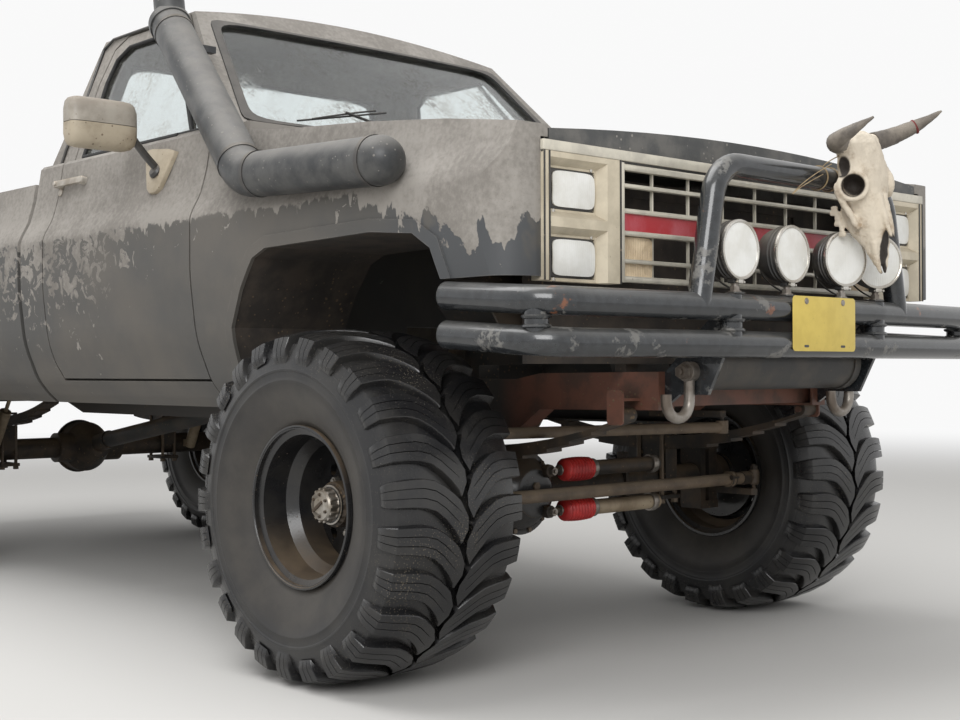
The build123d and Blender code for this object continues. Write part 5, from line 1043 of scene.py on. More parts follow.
@operator("Tow gear")
def tow_gear():
    """Build the steel tow hooks, their bolts, and the rings welded round the bumper's posts"""
    bm = bmesh.new()
    for shank in (-HOOK_SIDE, HOOK_SIDE):
        bend = HOOK_BEND
        foot = HOOK_LEVEL
        route = [(HOOK_STATION, shank, 130), (HOOK_STATION, shank, foot + 20), (HOOK_STATION, shank, foot)]
        route += [(HOOK_STATION, shank - bend * (1 - math.cos(turn)), foot - bend * math.sin(turn))
                  for turn in (FULL_TURN * step / 24 for step in range(1, 13))]
        route += [(HOOK_STATION, shank - 2 * bend, foot + 16)]
        added(bm, bar(route, 15.0, round_line=False, detail=5))
        added(bm, turned([(0, -16), (26, -16), (27, -13), (27, 13), (26, 16), (0, 16)], 28),
              facing((HOOK_STATION, shank, HOOK_PIN), (0, -1, 0)))
        added(bm, disc(22, 15, 18, 24), facing((HOOK_STATION, shank, HOOK_PIN), (0, -1, 0)))
        added(bm, nut(34, 20, 10), facing((HOOK_STATION, shank - 18, HOOK_PIN), (0, -1, 0)))
    tab = frontal(HOOK_STATION, -235, 111)
    added(bm, tile(66, 46, 5, 6, 1.0), tab)
    for across in (-18, 18):
        added(bm, disc(8, 6, 6.4, 18), shifted(tab, across, 0, 0), 1)
    piece("tow_hooks", bm, ["hook_steel", "lamp_black"], "chassis")
    bm = bmesh.new()
    weld = [(30, 0), (35, 0), (38.5, 3), (36, 8), (31, 10), (30, 0)]
    for side, station, height, out in (
        (345, 911, 284, (0, 0, -1)), (-345, 911, 284, (0, 0, -1)), (345, 911, 184, (0, 0, 1)),
        (-345, 911, 184, (0, 0, 1)), (982, 823, 282, (0, 0, -1)), (-982, 823, 282, (0, 0, -1)),
        (982, 823, 184, (0, 0, 1)), (-982, 823, 184, (0, 0, 1)),
    ):
        added(bm, turned(weld, 24), facing((station, side, height + 33 * out[2]), out, (1, 0, 0)))
    for side in (1, -1):
        for height in (306, 208):
            added(bm, turned([(0, 0), (36.5, 0), (36.5, 2), (33, 6), (0, 9)], 28),
                  facing((525, side * 1000, height), (-1, 0, 0.07)))
    piece("bumper_welds", bm, ["bumper_paint"], "chassis")


@operator("Steering dampers")
def dampers():
    """Build the two steering dampers with their red ribbed boots"""
    bm = bmesh.new()
    ribs = 9
    reach = 128.0
    for height, finish in ((-192.0, 2), (-316.0, 3)):
        boot = [(0, 0), (20, 0), (26, 3)]
        for rib in range(ribs):
            start = 6 + rib * (reach - 10) / ribs
            swell = 35.0 + 3.2 * math.sin(math.pi * (rib + 0.5) / ribs)
            boot += [(swell - 5.5, start), (swell - 1.2, start + 3), (swell, start + 6.0),
                     (swell - 1.2, start + 9)]
        boot += [(27, reach - 3), (24, reach), (0, reach)]
        place = facing((DAMPER_STATION, -200, height), (0, 1, 0))
        added(bm, turned(boot, 40), place, 0)
        added(bm, turned([(0, 126), (29, 126), (30, 129), (30, 141), (28, 144), (0, 144)], 36), place, 1)
        added(bm, turned([(0, 140), (24, 140), (24, 436), (25.5, 438), (25.5, 446), (22, 450), (0, 450)], 36),
              place, finish)
        added(bm, disc(10, -60, 4, 16), place, 2)
        added(bm, disc(17, -14, -9, 20), place, 1)
        added(bm, turned([(0, -18), (8, -18), (19, -14), (21, 0), (19, 14), (8, 18), (0, 18)], 24),
              frontal(DAMPER_STATION, -262, height), 2)
        added(bm, nut(22, 14, 6), frontal(168, -262, height), 1)
        added(bm, tile(110, 30, 3, 14, 1.0), facing((85, DAMPER_MOUNT, height), (0, 1, 0)), 2)
        added(bm, turned([(25, 0), (30, 0), (31, 3), (31, 21), (30, 24), (25, 24)], 30),
              facing((DAMPER_STATION, 208, height), (0, 1, 0)), 1)
    added(bm, tile(40, 200, 3, 14, 1.0), facing((30, DAMPER_MOUNT, AXLE_HEIGHT), (0, 1, 0)), 2)
    made = piece("damper_set", bm, ["boot_rubber", "hook_steel", "axle_iron", "damper_paint"], "chassis")
    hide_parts("steering_dampers")


@operator("Axle fittings")
def axle_fittings():
    """Build the cover bolts, spring clamps, tie rod clamps and castle nuts"""
    bm = bmesh.new()
    for station, side, ahead in ((84, DIFF_SIDE, 1), (REAR_AXLE - 84, 0, -1)):
        centre = Vector((station, side, AXLE_HEIGHT))
        for step in range(12):
            turn = FULL_TURN * (step + 0.5) / 12
            spot = centre + Vector((0, math.cos(turn), math.sin(turn))) * 122
            added(bm, nut(14, 7), facing(spot, (ahead, 0, 0)), 1)
        dome = [(0, 63.5), (58, 63.5), (71, 62.8), (78, 60), (117.5, 2.4), (121, 1.3), (131, 1.3), (131.6, -2),
                (0, -2)]
        added(bm, turned(dome, 56), facing(centre, (ahead, 0, 0)), 2)
        added(bm, disc(13, 0, 8, 6), facing(centre + Vector((ahead * 62, 0, 22)), (ahead, 0, 0)), 1)
    # Spring clamps, columns: station of the axle, height of the spring's top, radius of the tube
    for axle, top, tube in ((0, -110, 42), (REAR_AXLE, -95, 50)):
        for side in (1, -1):
            for along in (-1, 1):
                leg = axle + along * (tube + 9)
                foot = AXLE_HEIGHT - tube - 34
                added(bm, bar([
                    (leg, side * (SPRING_SIDE - U_BOLT_HALF), foot),
                    (leg, side * (SPRING_SIDE - U_BOLT_HALF), top),
                    (leg, side * (SPRING_SIDE - U_BOLT_HALF), top + 12),
                    (leg, side * (SPRING_SIDE + U_BOLT_HALF), top + 12),
                    (leg, side * (SPRING_SIDE + U_BOLT_HALF), top),
                    (leg, side * (SPRING_SIDE + U_BOLT_HALF), foot),
                ], 8.0, round_line=False), CAR, 1)
                for inner in (SPRING_SIDE - U_BOLT_HALF, SPRING_SIDE + U_BOLT_HALF):
                    added(bm, nut(22, 15), facing((leg, side * inner, foot + 8), (0, 0, -1), (1, 0, 0)), 1)
            added(bm, tile(2 * tube + 52, 100, 8, 14, 2.0),
                  facing((axle, side * SPRING_SIDE, AXLE_HEIGHT - tube - 26), (0, 0, 1), (0, 1, 0)), 0)
    piece("axle_bolts", bm, ["axle_iron", "linkage", "cover_paint"], "chassis")
    bm = bmesh.new()
    for side in (1, -1):
        for across in (-10, 10):
            ring = facing((TIE_ROD_STATION, side * 552 + across - 2, AXLE_HEIGHT), (0, 1, 0))
            added(bm, turned([(21, 0), (27, 0), (27.5, 2), (27.5, 4), (27, 6), (21, 6)], 28), ring, 1)
        added(bm, bar([(246, side * 552 - 16, AXLE_HEIGHT + 8), (246, side * 552 + 16, AXLE_HEIGHT + 8)], 5,
                      round_line=False), CAR, 1)
        added(bm, nut(16, 9), facing((246, side * 552 - 14, AXLE_HEIGHT + 8), (0, -1, 0)), 1)
        added(bm, turned([(0, -26), (14, -26), (19, -20), (20, 18), (16, 26), (0, 28)], 24),
              facing((TIE_ROD_STATION, side * 690, AXLE_HEIGHT), (0, 0, 1), (1, 0, 0)), 0)
        added(bm, nut(24, 13, 8), facing((TIE_ROD_STATION, side * 690, AXLE_HEIGHT + 26), (0, 0, 1), (1, 0, 0)),
              1)
        added(bm, turned([(18, 0), (23, 0), (24, 20), (23, 40), (18, 40)], 24),
              facing((TIE_ROD_STATION, side * 612, AXLE_HEIGHT), (0, side, 0)), 1)
    piece("tie_rod_fittings", bm, ["linkage", "axle_iron"], "tie_rod")


@operator("Hub fittings")
def hub_fittings():
    """Build the lug nuts and hub caps of the four wheels"""
    for place, side in WHEELS.items():
        low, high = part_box("tyre_" + place)
        middle = (low + high) / 2
        centre = Vector(((middle.x - AXLE_X) / MM, middle.y / MM, (middle.z - ROCKER) / MM))
        bm = bmesh.new()
        hub = facing(centre, (0, side, 0))
        for number in range(WHEEL_NUTS):
            turn = Matrix.Rotation(FULL_TURN * number / WHEEL_NUTS, 4, "Z")
            added(bm, nut(22, 20, 7), shifted(hub @ turn, NUT_CIRCLE, 0, 2), 0)
            added(bm, disc(15, 0, 3, 16), shifted(hub @ turn, NUT_CIRCLE, 0, 1), 1)
        added(bm, turned([(56, 74), (64, 66), (66, 30), (68, 14), (60, 12), (56, 74)], 40), hub, 1)
        dial = [(0, 118), (22, 118), (26, 115), (40, 113), (44, 108), (44, 84), (48, 80), (56, 79), (56, 74),
                (0, 74)]
        added(bm, turned(dial, 40), hub, 0)
        for number in range(HUB_FINGERS):
            turn = Matrix.Rotation(FULL_TURN * number / HUB_FINGERS, 4, "Z")
            added(bm, tile(8, 9, 2, 24, 1.0), shifted(hub @ turn, 45, 0, 84), 0)
        for number in range(CAP_SCREWS):
            turn = Matrix.Rotation(FULL_TURN * (number + 0.5) / CAP_SCREWS, 4, "Z")
            added(bm, nut(8, 4), shifted(hub @ turn, 31, 0, 114), 1)
        added(bm, tile(44, 9, 3, 6, 1.5), hub @ Matrix.Rotation(0.6, 4, "Z") @ Matrix.Translation((0, 0, 116)),
              1)
        added(bm, turned([(217, 183), (221, 187.5), (226, 187), (227, 182), (222, 180), (217, 183)], 96), hub,
              2)
        piece("hub_fittings_" + place, bm, ["hub_metal", "axle_iron", "rim_paint"], "wheel_" + place)


# Skull sections, columns: height along the skull, half width, back, front
SKULL_SECTIONS = [
    (146, 46, -40, -8), (134, 64, -46, 10), (112, 84, -50, 26), (75, 86, -50, 38), (35, 90, -50, 48),
    (0, 86, -50, 52), (-35, 66, -54, 54), (-75, 58, -70, 56), (-115, 52, -66, 58), (-150, 44, -40, 57),
    (-185, 36, -8, 50), (-215, 30, 8, 44), (-238, 22, 16, 38),
]
SKULL_ORIGIN = (990.0, 170.0, 648.0)
SKULL_LEAN = 8.0
# Horns, columns: side, then places as (sideways, along, ahead)
HORNS = [
    [(-80, 112, -14), (-132, 115, -6), (-158, 124, 26), (-148, 146, 74), (-112, 172, 114)],
    [(80, 112, -14), (138, 118, -4), (190, 134, 26), (234, 156, 70), (262, 182, 110)],
]
HORN_RADII = [28.0, 27.0, 23.0, 16.0, 3.0]


def ball(radii, steps=24):
    """Ellipsoid about the origin, in millimetres."""
    bm = bmesh.new()
    bmesh.ops.create_uvsphere(bm, u_segments=steps, v_segments=steps // 2, radius=1.0)
    bmesh.ops.scale(bm, vec=radii, verts=bm.verts)
    return bm


def lofted(sections, steps=40, power=2.6):
    """Closed skin over oval rings; columns: place along Y, half width, back, front."""
    bm = bmesh.new()
    rings = []
    for along, half, back, front in sections:
        ring = bmesh.ops.create_circle(bm, segments=steps, radius=1.0)["verts"]
        for vert in ring:
            x, z = vert.co.x, vert.co.y
            reach = (abs(x) ** power + abs(z) ** power) ** (1 / power)
            vert.co = (x / reach * half, along, (back + front) / 2 + z / reach * (front - back) / 2)
        members = set(ring)
        rings.append([edge for edge in bm.edges if all(vert in members for vert in edge.verts)])
    for first, second in zip(rings, rings[1:]):
        bmesh.ops.bridge_loops(bm, edges=first + second)
    for ring in (rings[0], rings[-1]):
        bmesh.ops.contextual_create(bm, geom=ring)
    return bm


def shaped(bm, modifiers):
    """Bmesh after modifiers, given as (kind, settings) pairs."""
    mesh = bpy.data.meshes.new("shape")
    bm.to_mesh(mesh)
    bm.free()
    holder = bpy.data.objects.new("shape", mesh)
    bpy.context.scene.collection.objects.link(holder)
    for kind, settings in modifiers:
        modifier = holder.modifiers.new(kind, kind)
        for name, value in settings.items():
            setattr(modifier, name, value)
    graph = bpy.context.evaluated_depsgraph_get()
    result = bmesh.new()
    result.from_object(holder, graph)
    bpy.data.objects.remove(holder)
    bpy.data.meshes.remove(mesh)
    return result


def cutter(shapes):
    """Hidden object of several closed shapes for a boolean."""
    bm = bmesh.new()
    for shape, place in shapes:
        added(bm, shape, place)
    bmesh.ops.recalc_face_normals(bm, faces=bm.faces)
    mesh = bpy.data.meshes.new("cutter")
    bm.to_mesh(mesh)
    bm.free()
    holder = bpy.data.objects.new("cutter", mesh)
    bpy.context.scene.collection.objects.link(holder)
    return holder


def darken_sockets(bone, sockets):
    """Marks how deep each point lies in a socket, for the bone's colour."""
    hollow = bone.verts.layers.float.new("hollow")
    for radii, middle in sockets:
        inverse = middle.inverted()
        for vert in bone.verts:
            local = inverse @ vert.co
            reach = math.sqrt(sum((value / radius) ** 2 for value, radius in zip(local, radii)))
            vert[hollow] = max(vert[hollow], min(1.0, max(0.0, (1.20 - reach) / 0.14)))


def nose_to_poll():
    """Way from the nose to the poll."""
    lean = math.radians(SKULL_LEAN)
    return (0, -math.sin(lean), math.cos(lean))


def skull_horns(bm, place):
    """Ringed horns, and the red band round the left one."""
    for route in HORNS:
        horn = bar(route, 20.0, HORN_RADII, detail=6)
        for vert in horn.verts:
            ring = cloud.noise(Vector((vert.co.x * 0.11, vert.co.y * 0.02, vert.co.z * 0.02)))
            vert.co += vert.normal * 1.6 * ring
        added(bm, horn, place, 1)
    band = facing((0, 0, 0), (0.62, 0.36, 0.70), (0, 0, 1))
    local = Matrix.Translation((214, 145, 48)) @ (CAR.inverted() @ band)
    added(bm, turned([(19.5, -4), (21.5, -3), (22.5, 0), (21.5, 3), (19.5, 4), (19.5, -4)], 28), place @ local,
          3)


def skull_wires(bm):
    """Loops of wire from the skull to the guard's top bar."""
    for side in (62, 118, 236):
        ring = facing((907, side, 659), (0, 1, 0))
        added(bm, turned([(33, -1.4), (35.8, -1.4), (35.8, 1.4), (33, 1.4), (33, -1.4)], 32), ring, 2)
    added(bm, bar([(925, 62, 690), (950, 60, 708), (975, 74, 716), (985, 96, 728)], 1.6), CAR, 2)
    added(bm, bar([(940, 40, 664), (962, -40, 640), (958, -110, 610), (940, -131, 579), (946, -60, 640),
                   (968, 40, 690)], 1.3), CAR, 2)
    added(bm, bar([(936, 236, 690), (960, 240, 712), (978, 222, 730)], 1.6), CAR, 2)


@operator("Skull")
def skull():
    """Build the bleached skull with its horns and the wire that holds it"""
    bone = bmesh.new()
    added(bone, lofted(SKULL_SECTIONS), UNMOVED)
    sockets = []
    for side in (-1, 1):
        out = Vector((0.84 * side, 0.05, 0.54)).normalized()
        centre = Vector((84 * side, -6, 16))
        turn = out.to_track_quat("Z", "Y").to_matrix().to_4x4()
        rim = Matrix.Translation(centre) @ turn
        ring = [(37 + 9 * math.cos(step), 9 * math.sin(step)) for step in
                (FULL_TURN * index / 12 for index in range(13))]
        added(bone, turned(ring, 36), rim)
        sockets.append(((29, 29, 44), shifted(rim, 0, 0, 4)))
        sockets.append(((20, 30, 22), Matrix.Translation((100 * side, 52, -6))))
        crest = [(100 * side, 4, -26), (108 * side, -22, -24), (88 * side, -62, -14), (66 * side, -100, -4),
                 (54 * side, -128, 4)]
        added(bone, bar(crest, 10.0), UNMOVED)
        added(bone, bar([(60 * side, 108, -14), (104 * side, 113, -12)], 27.0, round_line=False), UNMOVED)
        for tooth in range(6):
            reach = (22, 30, 18, 27, 14, 24)[tooth]
            added(bone, tile(12, 12.5, 3, reach, 2.0),
                  Matrix.Translation((50 * side, -64 - 15.5 * tooth,
                                      -62 + 4 * tooth)) @ Matrix.Rotation(math.pi, 4, "X"))
        added(bone, bar([(12 * side, -40, 48), (13 * side, -100, 60), (9 * side, -140, 70),
                         (4 * side, -168, 78)], 10.0, [13.0, 12.0, 8.0, 2.5]), UNMOVED)
        added(bone, bar([(30 * side, -170, 36), (27 * side, -215, 32), (16 * side, -250, 34),
                         (9 * side, -262, 38)], 9.0, [11.0, 10.0, 8.0, 4.0]), UNMOVED)
    sockets.append(((19, 46, 34), Matrix.Translation((0, -192, 52))))
    sockets.append(((12, 40, 60), Matrix.Translation((0, -246, 26))))
    bmesh.ops.recalc_face_normals(bone, faces=bone.faces)
    bone = shaped(bone, [("REMESH", {"mode": "VOXEL", "voxel_size": 3.2})])
    holes = cutter([(ball(radii), middle) for radii, middle in sockets])
    bone = shaped(bone, [("BOOLEAN", {"operation": "DIFFERENCE", "object": holes, "solver": "FAST"}),
                         ("REMESH", {"mode": "VOXEL", "voxel_size": 2.8}),
                         ("SMOOTH", {"factor": 0.5, "iterations": 3})])
    bpy.data.objects.remove(holes)
    for vert in bone.verts:
        rough = cloud.noise(vert.co * 0.045) * 2.4 + cloud.noise(vert.co * 0.16) * 0.9
        vert.co += vert.normal * rough
    # Painted shade in the sockets, stored on the points for the bone's colour
    darken_sockets(bone, sockets)
    place = facing(SKULL_ORIGIN, (1, 0, 0), nose_to_poll())
    bm = bmesh.new()
    added(bm, bone, place)
    skull_horns(bm, place)
    skull_wires(bm)
    made = piece("horned_skull", bm, ["bone", "horn_keratin", "tan_wire", "red_band"], "chassis",
                 sharp=60)
    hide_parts("skull")


MIRROR_HEAD = (-1021.0, -1165.0, 915.0)
TAIL_LAMP = (-4408.0, -884.0, 560.0)
TAILGATE_HANDLE = (-4400.0, 0.0, 782.0)
DOOR_HANDLE = (-1610.0, -938.0, 805.0)
# Door window's opening as (station, height)
WINDOW = [(-819, 914), (-1182, 1330), (-1568, 1330), (-1640, 1290), (-1668, 1202), (-1668, 914), (-819, 914)]
# Line of the drip rail as (station, right, height)
DRIP_RAIL = [(-742, 888, 903), (-945, 809, 1138), (-1150, 730, 1372), (-1200, 727, 1381), (-1700, 727, 1381),
             (-1762, 735, 1350), (-1790, 796, 1150), (-1812, 866, 960), (-1814, 884, 905)]
INTAKE_SIDE = -1052.0
BELT = 900.0
BELT_HALF = 880.0
GLASS_LEAN = 0.336
SCREEN_FOOT = (-640.0, 905.0)
SCREEN_RAKE = 0.98
SCREEN_BOW = 46.0


def on_side(station, height, out=0.0):
    """Point on the right-hand window plane, moved outwards."""
    return (station, -(BELT_HALF - GLASS_LEAN * (height - BELT) + out), height)


def on_screen(side, height, out=0.0):
    """Point on the bowed windscreen, moved outwards."""
    foot, level = SCREEN_FOOT
    return (foot - SCREEN_RAKE * (height - level) - SCREEN_BOW * (side / 1000) ** 2 + out, side,
            height + 0.7 * out)


def gasket(surface, outer, inner, thick, steps=160):
    """Strip between two rounded outlines on a surface; an outline is its size and its squareness."""
    bm = bmesh.new()
    loops = []
    for size, power in (outer, inner):
        points = []
        for step in range(steps):
            turn = FULL_TURN * (step + 0.5) / steps
            x, y = math.cos(turn), math.sin(turn)
            reach = (abs(x) ** power + abs(y) ** power) ** (1 / power)
            points.append(surface(size * x / reach, size * y / reach))
        verts, edges = chain(bm, points)
        loops += edges + [bm.edges.new((verts[-1], verts[0]))]
    bmesh.ops.bridge_loops(bm, edges=loops)
    bmesh.ops.recalc_face_normals(bm, faces=bm.faces)
    return shaped(bm, [("SOLIDIFY", {"thickness": thick, "offset": 0.0})])


def on_rear_window(across, along):
    """Point on the cab's back, the opening being from -1 to 1."""
    height = 1135 + 175 * along
    return (-1901 + 0.246 * (height - 914) - 2, across * (655 - 45 * along), height)


@operator("Cab trim")
def cab_trim():
    """Build the gaskets, the drip rails, the wipers and the intake's clamps"""
    bm = bmesh.new()
    added(bm,
          gasket(lambda u, v: on_screen(u * (729 - 61 * v), 1143 + 209 * v, 1.0), (1.02, 30), (0.976, 14), 9.0))
    added(bm, gasket(on_rear_window, (1.02, 30), (0.965, 12), 9.0))
    piece("screen_gaskets", bm, ["dusty_rubber"], "chassis", sharp=50)
    bm = bmesh.new()
    added(bm, bar([(station, -side, height) for station, side, height in DRIP_RAIL], 5.5, round_line=False))
    pair("drip_rail", bm, ["lamp_black"], "chassis")
    bm = bmesh.new()
    for shift in (0, 560):
        low, high = -596 + shift, -158 + shift
        middle = (low + high) / 2
        added(bm, bar([on_screen(low, 948, 9), on_screen(middle, 992, 9), on_screen(high, 1036, 9)], 3.5))
        added(bm, bar([on_screen(low + 60, 955, 17), on_screen(middle, 993, 21),
                       on_screen(high - 60, 1029, 17)], 3.5))
        added(bm,
              bar([(-628, shift - 110, 898), on_screen(shift - 130, 932, 20), on_screen(middle, 994, 24)], 5.0))
        added(bm, turned([(0, 0), (14, 0), (14, 14), (11, 18), (0, 18)], 20),
              facing((-632, shift - 110, 890), (0.4, 0, 1), (1, 0, 0)))
    piece("wipers", bm, ["black_plastic"], "chassis")
    bm = bmesh.new()
    rise = Vector((-713, 167, 602)).normalized()
    foot = Vector((-307, INTAKE_SIDE, 690))
    for centre, way, radius in (
        (Vector((300, INTAKE_SIDE, 666)), (1, 0, -0.04), 66),
        (Vector((-235, INTAKE_SIDE, 688)), (1, 0, -0.04), 66),
        (foot + rise * 70, rise, 66), (foot + rise * 880, rise, 66),
    ):
        band = [(radius - 2, -7), (radius + 2.5, -7), (radius + 2.5, 7), (radius - 2, 7), (radius - 2, -7)]
        added(bm, turned(band, 44), facing(centre, way, (0, 0, 1)))
    piece("intake_clamps", bm, ["lamp_black"], "chassis")


def door_mirrors():
    """Rounded head on a bent arm, over a shield-shaped base."""
    bm = bmesh.new()
    head = facing(MIRROR_HEAD, (1, 0, 0))
    added(bm, lofted([(-3, 118, 0, 94), (40, 118, 0, 92), (64, 113, 2, 84), (75, 104, 6, 72), (80, 88, 16, 56)],
                     48, 4.5), head, 0)
    added(bm, lofted([(-80, 88, 16, 56), (-75, 104, 6, 72), (-64, 113, 2, 84), (-40, 118, 0, 92),
                      (-5, 118, 0, 94)], 48, 4.5), head, 1)
    added(bm, tile(204, 128, 30, 2.5, 0.8), facing((-1020, -1165, 915), (-1, 0, 0)), 3)
    added(bm, bar([(-985, -940, 780), (-984, -990, 816), (-980, -1034, 868), (-980, -1062, 898)], 13.0), CAR, 2)
    shield = [(-100, 60), (-56, 64), (52, 52), (102, 38), (94, 20), (40, -82), (16, -96), (-20, -96),
              (-42, -80)]
    added(bm, plate(shield, 16, 5.0), facing((-985, -940, 800), (0, -1, 0.204)), 1)
    added(bm, turned([(0, 0), (26, 0), (26, 6), (20, 14), (0, 16)], 24),
          facing((-985, -957, 780), (0, -1, 0.6)), 2)
    return pair("rounded_mirror", bm, ["mirror_paint", "tan_sheet", "lamp_black", "mirror_silver"], "door_{}")


@operator("Door trim")
def door_trim():
    """Build the door mirrors, the handles, the locks and the window seals"""
    for made in door_mirrors():
        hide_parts(made.name.replace("rounded_", ""))
    bm = bmesh.new()
    place = facing(DOOR_HANDLE, (0, -1, 0.19))
    for across in (-86, 86):
        added(bm, tile(30, 28, 8, 18, 3.0), shifted(place, across, 0, 0))
    added(bm, tile(222, 25, 10, 11, 4.0), shifted(place, 0, 0, 17))
    added(bm, turned([(0, 0), (9, 0), (9, 6), (7, 8), (0, 8)], 20), shifted(place, -92, 0, 27))
    added(bm, turned([(0, 0), (15, 0), (15, 3), (11, 5), (0, 5)], 24),
          facing((-1700, -943, 780), (0, -1, 0.19)))
    pair("door_handle", bm, ["muddy_chrome"], "door_{}")
    bm = bmesh.new()
    added(bm, bar([on_side(station, height, -7) for station, height in WINDOW], 8.0, round_line=False))
    added(bm, bar([on_side(-905, 912, -8), on_side(-1235, 1332, -8)], 9.0, round_line=False))
    added(bm, bar([on_side(-985, 912, -4), on_side(-1660, 912, -4)], 9.0, round_line=False))
    pair("window_seals", bm, ["seal_rubber"], "door_{}")


# Side outlines of the bench's two cushions as (station, height)
CUSHION = [(-1168, 196), (-1160, 400), (-1190, 494), (-1330, 506), (-1600, 476), (-1655, 330), (-1640, 158),
           (-1190, 150)]
BACKREST = [(-1590, 430), (-1628, 700), (-1672, 940), (-1724, 984), (-1788, 950), (-1776, 600), (-1758, 240),
            (-1650, 230)]
BENCH_HALF = 640.0


def cushion(outline, channels):
    """Soft block along the car's width, drawn in at each seam and at its ends."""
    bm = bmesh.new()
    middle = sum((Vector(point) for point in outline), Vector((0, 0))) / len(outline)
    rings = [(-1.0, 0.80), (-0.985, 0.94)]
    for channel in range(channels):
        start = -0.96 + 1.92 * channel / channels
        width = 1.92 / channels
        rings += [(start, 0.955)] + [(start + width * part, 1.0) for part in (0.22, 0.78)]
    rings += [(0.96, 0.955), (0.985, 0.94), (1.0, 0.80)]
    loops = []
    for across, size in rings:
        points = [middle + (Vector(point) - middle) * size for point in outline]
        verts, edges = chain(bm, [(point.x, across * BENCH_HALF, point.y) for point in points])
        loops.append(edges + [bm.edges.new((verts[-1], verts[0]))])
    for first, second in zip(loops, loops[1:]):
        bmesh.ops.bridge_loops(bm, edges=first + second)
    for loop in (loops[0], loops[-1]):
        bmesh.ops.contextual_create(bm, geom=loop)
    bmesh.ops.recalc_face_normals(bm, faces=bm.faces)
    return shaped(bm, [("SUBSURF", {"levels": 2})])


@operator("Bench seat")
def bench():
    """Build the padded bench seat with its stitched channels"""
    bm = bmesh.new()
    for outline in (CUSHION, BACKREST):
        added(bm, cushion(outline, 11))
    made = piece("padded_bench", bm, ["seat_vinyl"], "chassis", sharp=70)
    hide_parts("bench_seat")


@operator("Rear trim")
def rear_trim():
    """Build the tail lamps' frames, the reversing lamps and the tailgate's handle"""
    bm = bmesh.new()
    place = facing(TAIL_LAMP, (-1, 0, 0))
    added(bm, surround(108, 304, 10, 8, 6, 2.0), shifted(place, 0, 0, -1), 0)
    added(bm, tile(90, 62, 4, 3, 1.0), shifted(place, 0, -62, 0), 1)
    for height in (-96, -28, 60):
        added(bm, tile(92, 5, 1, 3.5, 0.5), shifted(place, 0, height, 0), 2)
    pair("tail_lamp_trim", bm, ["bright_trim", "white_lens", "lamp_black"], "chassis")
    bm = bmesh.new()
    place = facing(TAILGATE_HANDLE, (-1, 0, 0))
    added(bm, tile(190, 58, 10, 2.5, 0.8), place, 1)
    added(bm, tile(160, 30, 8, 13, 4.0), shifted(place, 0, 6, 2), 0)
    piece("tailgate_handle", bm, ["muddy_chrome", "lamp_black"], "tailgate")


def paper_floor(settings):
    """Wide floor whose far parts fade into the white surroundings."""
    bm = bmesh.new()
    bmesh.ops.create_grid(bm, x_segments=2, y_segments=2, size=60.0)
    mesh = bpy.data.meshes.new("floor")
    bm.to_mesh(mesh)
    bm.free()
    floor = bpy.data.objects.new("floor", mesh)
    bpy.context.scene.collection.objects.link(floor)
    shade = Shader("floor_paper")
    tree = shade.tree
    place = add_node(tree, "ShaderNodeTexCoord").outputs["Object"]
    away = add_node(tree, "ShaderNodeVectorMath", {0: place}, operation="LENGTH").outputs["Value"]
    fade = ramp(tree, away, 6.0, 16.0)
    shade.finish({
        "Base Color": mix_colour(tree, fade, settings.floor, (0.9, 0.9, 0.9)),
        "Roughness": 0.9,
        "Specular IOR Level": 0.2,
    })
    glow = add_node(tree, "ShaderNodeEmission", {"Color": (1.0, 1.0, 1.0, 1.0), "Strength": 0.95})
    both = add_node(tree, "ShaderNodeMixShader",
                    {0: fade, 1: shade.surface.outputs[0], 2: glow.outputs[0]})
    tree.links.new(both.outputs[0], tree.nodes["Material Output"].inputs["Surface"])
    mesh.materials.append(shade.material)


def soft_lamps():
    """Even sky light, brighter for the camera and for reflections, and two wide soft lamps."""
    world = bpy.data.worlds.new("soft_sky")
    world.use_nodes = True
    tree = world.node_tree
    path = add_node(tree, "ShaderNodeLightPath").outputs
    seen = calc(tree, "MAXIMUM", path["Is Camera Ray"],
                calc(tree, "MAXIMUM", path["Is Glossy Ray"], path["Is Transmission Ray"]))
    tree.links.new(mix_value(tree, seen, 0.62, 0.95), tree.nodes["Background"].inputs["Strength"])
    tree.nodes["Background"].inputs["Color"].default_value = (1.0, 1.0, 1.0, 1.0)
    bpy.context.scene.world = world
    # Lamps, columns: name, place, aim, width, watts
    for name, place, aim, width, power in (
        ("front_softbox", (6.5, -5.5, 4.5), (1.0, -0.6, 0.9), 4.0, 330.0),
        ("overhead_softbox", (0.0, -1.5, 6.5), (0.3, 0.0, 0.5), 5.0, 300.0),
    ):
        light = bpy.data.lights.new(name, "AREA")
        light.size = width
        light.energy = power
        lamp = bpy.data.objects.new(name, light)
        aimed = (Vector(aim) - Vector(place)).to_track_quat("-Z", "Y")
        lamp.matrix_world = Matrix.Translation(place) @ aimed.to_matrix().to_4x4()
        bpy.context.scene.collection.objects.link(lamp)


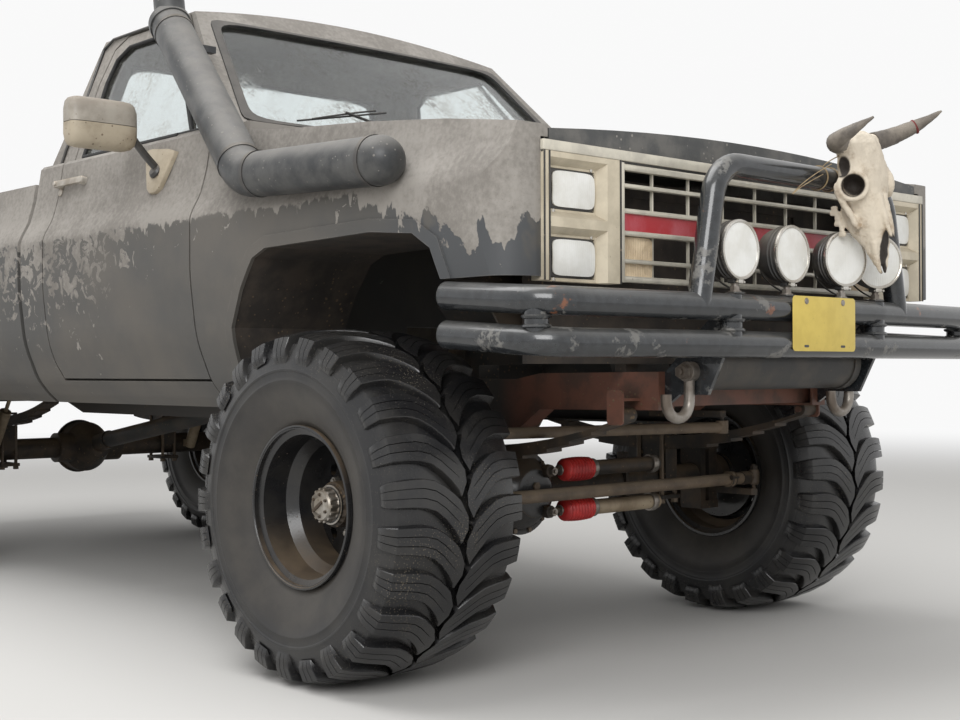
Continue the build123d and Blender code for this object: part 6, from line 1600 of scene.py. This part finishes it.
def photo_camera(settings):
    """Camera at the photograph's place, heading and lens."""
    yaw, pitch, roll = (math.radians(turn) for turn in (settings.yaw, settings.pitch, settings.roll))
    ahead = Vector((math.cos(pitch) * math.cos(yaw), math.cos(pitch) * math.sin(yaw), math.sin(pitch)))
    right = ahead.cross(Vector((0, 0, 1))).normalized()
    above = right.cross(ahead)
    level = Matrix((right, above, -ahead)).transposed()
    rolled = level @ Matrix.Rotation(roll, 3, "Z")
    data = bpy.data.cameras.new("camera")
    data.lens = settings.lens
    data.sensor_width = 36.0
    data.clip_end = 200.0
    camera = bpy.data.objects.new("camera", data)
    camera.matrix_world = Matrix.Translation(settings.eye) @ rolled.to_4x4()
    bpy.context.scene.collection.objects.link(camera)
    bpy.context.scene.camera = camera


@operator("Stage")
def stage():
    """Set the pale floor, the soft lamps and the camera"""
    settings = bpy.context.scene.pickup_stage
    paper_floor(settings)
    soft_lamps()
    photo_camera(settings)
    bpy.context.scene.view_settings.view_transform = "Standard"


class PICKUP_PT_panel(bpy.types.Panel):
    """Steps of the pickup's looks"""

    bl_idname = "PICKUP_PT_panel"
    bl_label = "Pickup"
    bl_space_type = "VIEW_3D"
    bl_region_type = "UI"
    bl_category = "Pickup"

    def draw(self, context):
        for group in ("pickup_paint", "pickup_tyre", "pickup_stage"):
            settings = getattr(context.scene, group)
            box = self.layout.box()
            for name in settings.bl_rna.properties.keys():
                if name not in ("rna_type", "name"):
                    box.prop(settings, name)
        for step in STEPS:
            self.layout.operator(step.bl_idname)


SETTINGS = {"pickup_paint": PickupPaint, "pickup_tyre": PickupTyre, "pickup_stage": PickupStage}


def register():
    for kind in [*SETTINGS.values(), *STEPS, PICKUP_PT_panel]:
        bpy.utils.register_class(kind)
    for name, kind in SETTINGS.items():
        setattr(bpy.types.Scene, name, bpy.props.PointerProperty(type=kind))


def unregister():
    for name in SETTINGS:
        delattr(bpy.types.Scene, name)
    for kind in reversed([*SETTINGS.values(), *STEPS, PICKUP_PT_panel]):
        bpy.utils.unregister_class(kind)


def main():
    """Registers the add-on, runs its steps and writes the sizes."""
    register()
    for step in STEPS:
        group, name = step.bl_idname.split(".")
        getattr(getattr(bpy.ops, group), name)()


if __name__ == "__main__":
    main()
